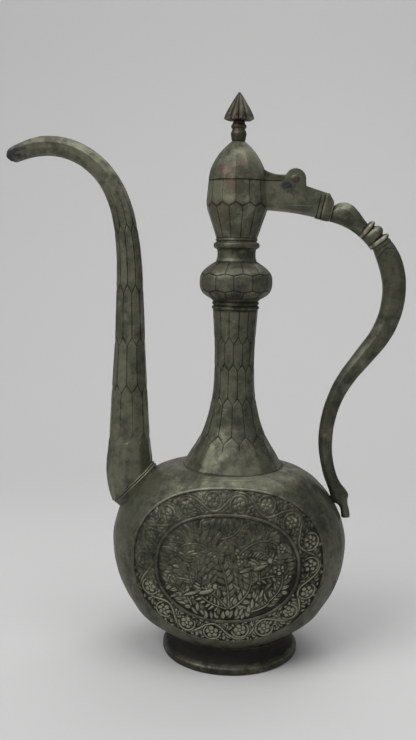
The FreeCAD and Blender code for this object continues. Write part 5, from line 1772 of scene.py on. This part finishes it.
def make_spout():
    """The long faceted spout with its bore, its open beak and the collar at its root."""
    sizes = bpy.context.scene.ewer_sizes
    spine = spout_spine()
    rows, inner_rows, columns = 420, 90, SPOUT_SCALES * 20
    point, edge_height = 6.0, 0.95
    angles = around(columns)
    ends = beak_end(spine, angles)
    starts = seat_cut(spine, angles, 0.0)
    distance = starts + (ends - starts) * np.linspace(0, 1, rows)[:, None]
    place = distance / spine.length
    radius = spout_radius(place)
    turn = np.broadcast_to(angles / TURN * SPOUT_SCALES + 0.5, distance.shape)
    marks = [spine.length * mark for mark in SPOUT_TIER_SHARES]
    offset, nearest = scale_pattern(turn, distance, TURN * radius / SPOUT_SCALES, marks, point)
    fade = unit((0.80 - place) / 0.16) * np.clip(place / 0.28, 0.45, 1)
    facet = radius * facet_reach(SPOUT_SCALES) / np.cos(offset * TURN / SPOUT_SCALES)
    outer = spine.tube(distance, angles, facet - groove_cut(nearest, sizes) * fade)
    inner_starts = seat_cut(spine, angles, SPOUT_WALL)
    inner_distance = inner_starts + (ends - inner_starts) * np.linspace(1, 0, inner_rows)[:, None]
    inner_radius = spout_radius(inner_distance / spine.length) * 0.985 - SPOUT_WALL
    inner = spine.tube(inner_distance, angles, inner_radius)
    lip = (outer[-1] * 0.5 + inner[0] * 0.5) + (outer[-1] - outer[-2]) * 0.6
    shape = skin(np.concatenate([outer, lip[None], inner]), close_rows=True)
    heights = SCALE_HEIGHT - (SCALE_HEIGHT - groove_height(nearest, sizes)) * fade
    heights *= 0.4 + 0.6 * unit((distance - starts) / 1.4)
    dark = np.full((inner_rows, columns), CAP_HEIGHT)
    heights = np.concatenate([heights, np.full((1, columns), edge_height), dark]).ravel()
    put_piece("spout", shape, "ewer", "spout_metal", ["spout_tube"], heights, sharp=70.0)
    make_spout_collar()


def make_spout_collar():
    """A slanting oval collar with two thin beads where the spout is soldered on."""
    half_length, half_width = 19.3, 15.4
    angles = around(96)
    rings = []
    for rise, growth in SPOUT_COLLAR_STATIONS:
        along = (half_length + growth) * np.cos(angles)
        x = SEAT_X + along * math.cos(SEAT_LEAN) - rise * math.sin(SEAT_LEAN)
        z = SEAT_Z + along * math.sin(SEAT_LEAN) + rise * math.cos(SEAT_LEAN)
        rings.append(np.stack([x, (half_width + growth) * np.sin(angles), z], axis=-1))
    put_piece(
        "spout_ring", skin(np.array(rings), caps=(True, True)), "ewer", "spout_metal", ["spout_collar"],
        sharp=60.0, dim=0.78)


# Stage


def make_stage():
    """The floor and backdrop, the lamps and the camera."""
    make_backdrop(bpy.context.scene.ewer_colours)
    make_lights()
    make_camera()


def make_backdrop(colours):
    """A pale floor that sweeps up into a backdrop, which is clear from behind; painted shade darkens it
    further back.
    """
    bend, back, top, half, front, sink = 0.7, 1.1, 2.6, 7.0, -7.0, 0.0002
    sweep = [
        (back - bend + bend * math.sin(a), bend - bend * math.cos(a))
        for a in np.linspace(0.1, math.pi / 2, 16)
    ]
    line = [(front, 0.0), (back - bend, 0.0), *sweep, (back, top)]
    verts = [(side * half, y, z - sink) for side in (-1, 1) for y, z in line]
    count = len(line)
    faces = [[count + i, count + i + 1, i + 1, i] for i in range(count - 1)]
    mesh = bpy.data.meshes.new("backdrop")
    mesh.from_pydata(verts, [], faces)
    mesh.polygons.foreach_set("use_smooth", [True] * len(faces))
    material = bpy.data.materials.new("pale_paper")
    material.use_nodes = True
    tree = material.node_tree
    shader = tree.nodes["Principled BSDF"]
    place = tree.nodes.new("ShaderNodeTexCoord").outputs["Object"]
    cloud = noise_value(tree, place, 3.0, 3.0, 0.5)
    clouded, far_shade = ([channel * share for channel in colours.floor] for share in (0.97, 0.91))
    away = tree.nodes.new("ShaderNodeSeparateXYZ")
    tree.links.new(place, away.inputs[0])
    paper = mix_colour(tree, cloud, tuple(colours.floor), clouded)
    # Painted shade: the paper darkens further back
    paper = mix_colour(tree, ramp(tree, away.outputs["Y"], 0.05, 0.45), paper, far_shade)
    tree.links.new(paper, shader.inputs["Base Color"])
    shader.inputs["Roughness"].default_value = 0.75
    clear = tree.nodes.new("ShaderNodeBsdfTransparent")
    behind = tree.nodes.new("ShaderNodeNewGeometry").outputs["Backfacing"]
    blend = tree.nodes.new("ShaderNodeMixShader")
    for index, value in enumerate((behind, shader.outputs["BSDF"], clear.outputs["BSDF"])):
        tree.links.new(value, blend.inputs[index])
    tree.links.new(blend.outputs["Shader"], tree.nodes["Material Output"].inputs["Surface"])
    mesh.materials.append(material)
    floor = bpy.data.objects.new("backdrop", mesh)
    bpy.context.scene.collection.objects.link(floor)


# name, place in metres, power in watts, size in metres
LAMPS = (
    ("key", (-1.1, -1.0, 1.6), 26.0, 1.2),
    ("fill", (1.4, -1.3, 0.9), 2.5, 1.4),
    ("top", (0.18, -0.25, 1.7), 14.5, 1.2),
    ("rear", (0.35, 0.85, 1.35), 5.0, 1.0),
)


def make_lights():
    """The lamps, which all face the ewer's middle, and a dim even sky."""
    scene = bpy.context.scene
    target = Vector((0.0, 0.0, 0.2))
    for name, spot, power, size in LAMPS:
        lamp = bpy.data.lights.new(name, "AREA")
        lamp.energy = power
        lamp.size = size
        holder = bpy.data.objects.new(name, lamp)
        holder.location = spot
        holder.rotation_euler = (target - holder.location).to_track_quat("-Z", "Y").to_euler()
        scene.collection.objects.link(holder)
    world = bpy.data.worlds.new("studio")
    world.use_nodes = True
    sky = world.node_tree.nodes["Background"]
    sky.inputs["Color"].default_value = (0.95, 0.97, 1.0, 1.0)
    sky.inputs["Strength"].default_value = 0.28
    scene.world = world
    scene.view_settings.view_transform = "Standard"


def make_camera():
    """The camera that took the photograph, as fitted to it."""
    scene = bpy.context.scene
    lens = bpy.data.cameras.new("camera")
    lens.sensor_fit = "AUTO"
    lens.sensor_width = 36.0
    lens.lens = FOCAL_PIXELS / PHOTO_HEIGHT * lens.sensor_width
    lens.clip_start = 0.01
    camera = bpy.data.objects.new("camera", lens)
    turn = (
        Matrix.Rotation(CAMERA_YAW, 4, "Z") @ Matrix.Rotation(math.pi / 2 - CAMERA_PITCH, 4, "X")
        @ Matrix.Rotation(CAMERA_ROLL, 4, "Z")
    )
    camera.matrix_world = Matrix.Translation(Vector(CAMERA_SPOT) * MM) @ turn
    scene.collection.objects.link(camera)
    scene.camera = camera


class EWER_OT_foot(bpy.types.Operator):
    """Make the ring foot"""

    bl_idname = "ewer.foot"
    bl_label = "Foot"

    def execute(self, context):
        make_foot()
        return {"FINISHED"}


class EWER_OT_body(bpy.types.Operator):
    """Make the body with its chased medallions"""

    bl_idname = "ewer.body"
    bl_label = "Body"

    def execute(self, context):
        make_body()
        return {"FINISHED"}


class EWER_OT_rims(bpy.types.Operator):
    """Make the wires round the medallions"""

    bl_idname = "ewer.rims"
    bl_label = "Medallion wires"

    def execute(self, context):
        make_rims()
        return {"FINISHED"}


class EWER_OT_neck(bpy.types.Operator):
    """Make the neck, its collars and its bulb"""

    bl_idname = "ewer.neck"
    bl_label = "Neck"

    def execute(self, context):
        make_neck()
        make_collars()
        make_bulb()
        return {"FINISHED"}


class EWER_OT_cup(bpy.types.Operator):
    """Make the mouth cup"""

    bl_idname = "ewer.cup"
    bl_label = "Mouth cup"

    def execute(self, context):
        make_cup()
        return {"FINISHED"}


class EWER_OT_lid(bpy.types.Operator):
    """Make the lid with its ring and hinge bracket"""

    bl_idname = "ewer.lid"
    bl_label = "Lid"

    def execute(self, context):
        make_lid()
        return {"FINISHED"}


class EWER_OT_finial(bpy.types.Operator):
    """Make the finial on the lid"""

    bl_idname = "ewer.finial"
    bl_label = "Finial"

    def execute(self, context):
        make_finial()
        return {"FINISHED"}


class EWER_OT_spout(bpy.types.Operator):
    """Make the spout and its collar"""

    bl_idname = "ewer.spout"
    bl_label = "Spout"

    def execute(self, context):
        make_spout()
        return {"FINISHED"}


class EWER_OT_handle(bpy.types.Operator):
    """Make the handle's bar, its cast bow and the hinge pin"""

    bl_idname = "ewer.handle"
    bl_label = "Handle"

    def execute(self, context):
        make_arm()
        make_bow()
        make_pin()
        return {"FINISHED"}


class EWER_OT_stage(bpy.types.Operator):
    """Make the floor, lamps and camera"""

    bl_idname = "ewer.stage"
    bl_label = "Stage"

    def execute(self, context):
        make_stage()
        return {"FINISHED"}


class EWER_PT_panel(bpy.types.Panel):
    """Sidebar panel of the ewer's sizes, colours and pieces"""

    bl_idname = "EWER_PT_panel"
    bl_label = "Metal ewer"
    bl_space_type = "VIEW_3D"
    bl_region_type = "UI"
    bl_category = "Ewer"

    def draw(self, context):
        for group in (context.scene.ewer_sizes, context.scene.ewer_colours):
            box = self.layout.box()
            for name in group.__annotations__:
                box.prop(group, name)
        for operator in OPERATORS:
            self.layout.operator(operator.bl_idname)


OPERATORS = (
    EWER_OT_foot, EWER_OT_body, EWER_OT_rims, EWER_OT_neck, EWER_OT_cup, EWER_OT_lid, EWER_OT_finial,
    EWER_OT_spout, EWER_OT_handle, EWER_OT_stage,
)
CLASSES = (EwerSizes, EwerColours, *OPERATORS, EWER_PT_panel)


def register():
    for item in CLASSES:
        bpy.utils.register_class(item)
    bpy.types.Scene.ewer_sizes = PointerProperty(type=EwerSizes)
    bpy.types.Scene.ewer_colours = PointerProperty(type=EwerColours)


def unregister():
    del bpy.types.Scene.ewer_colours
    del bpy.types.Scene.ewer_sizes
    for item in reversed(CLASSES):
        bpy.utils.unregister_class(item)


def main():
    register()
    bpy.ops.ewer.foot()
    bpy.ops.ewer.body()
    bpy.ops.ewer.rims()
    bpy.ops.ewer.neck()
    bpy.ops.ewer.cup()
    bpy.ops.ewer.lid()
    bpy.ops.ewer.finial()
    bpy.ops.ewer.spout()
    bpy.ops.ewer.handle()
    bpy.ops.ewer.stage()


if __name__ == "__main__":
    main()
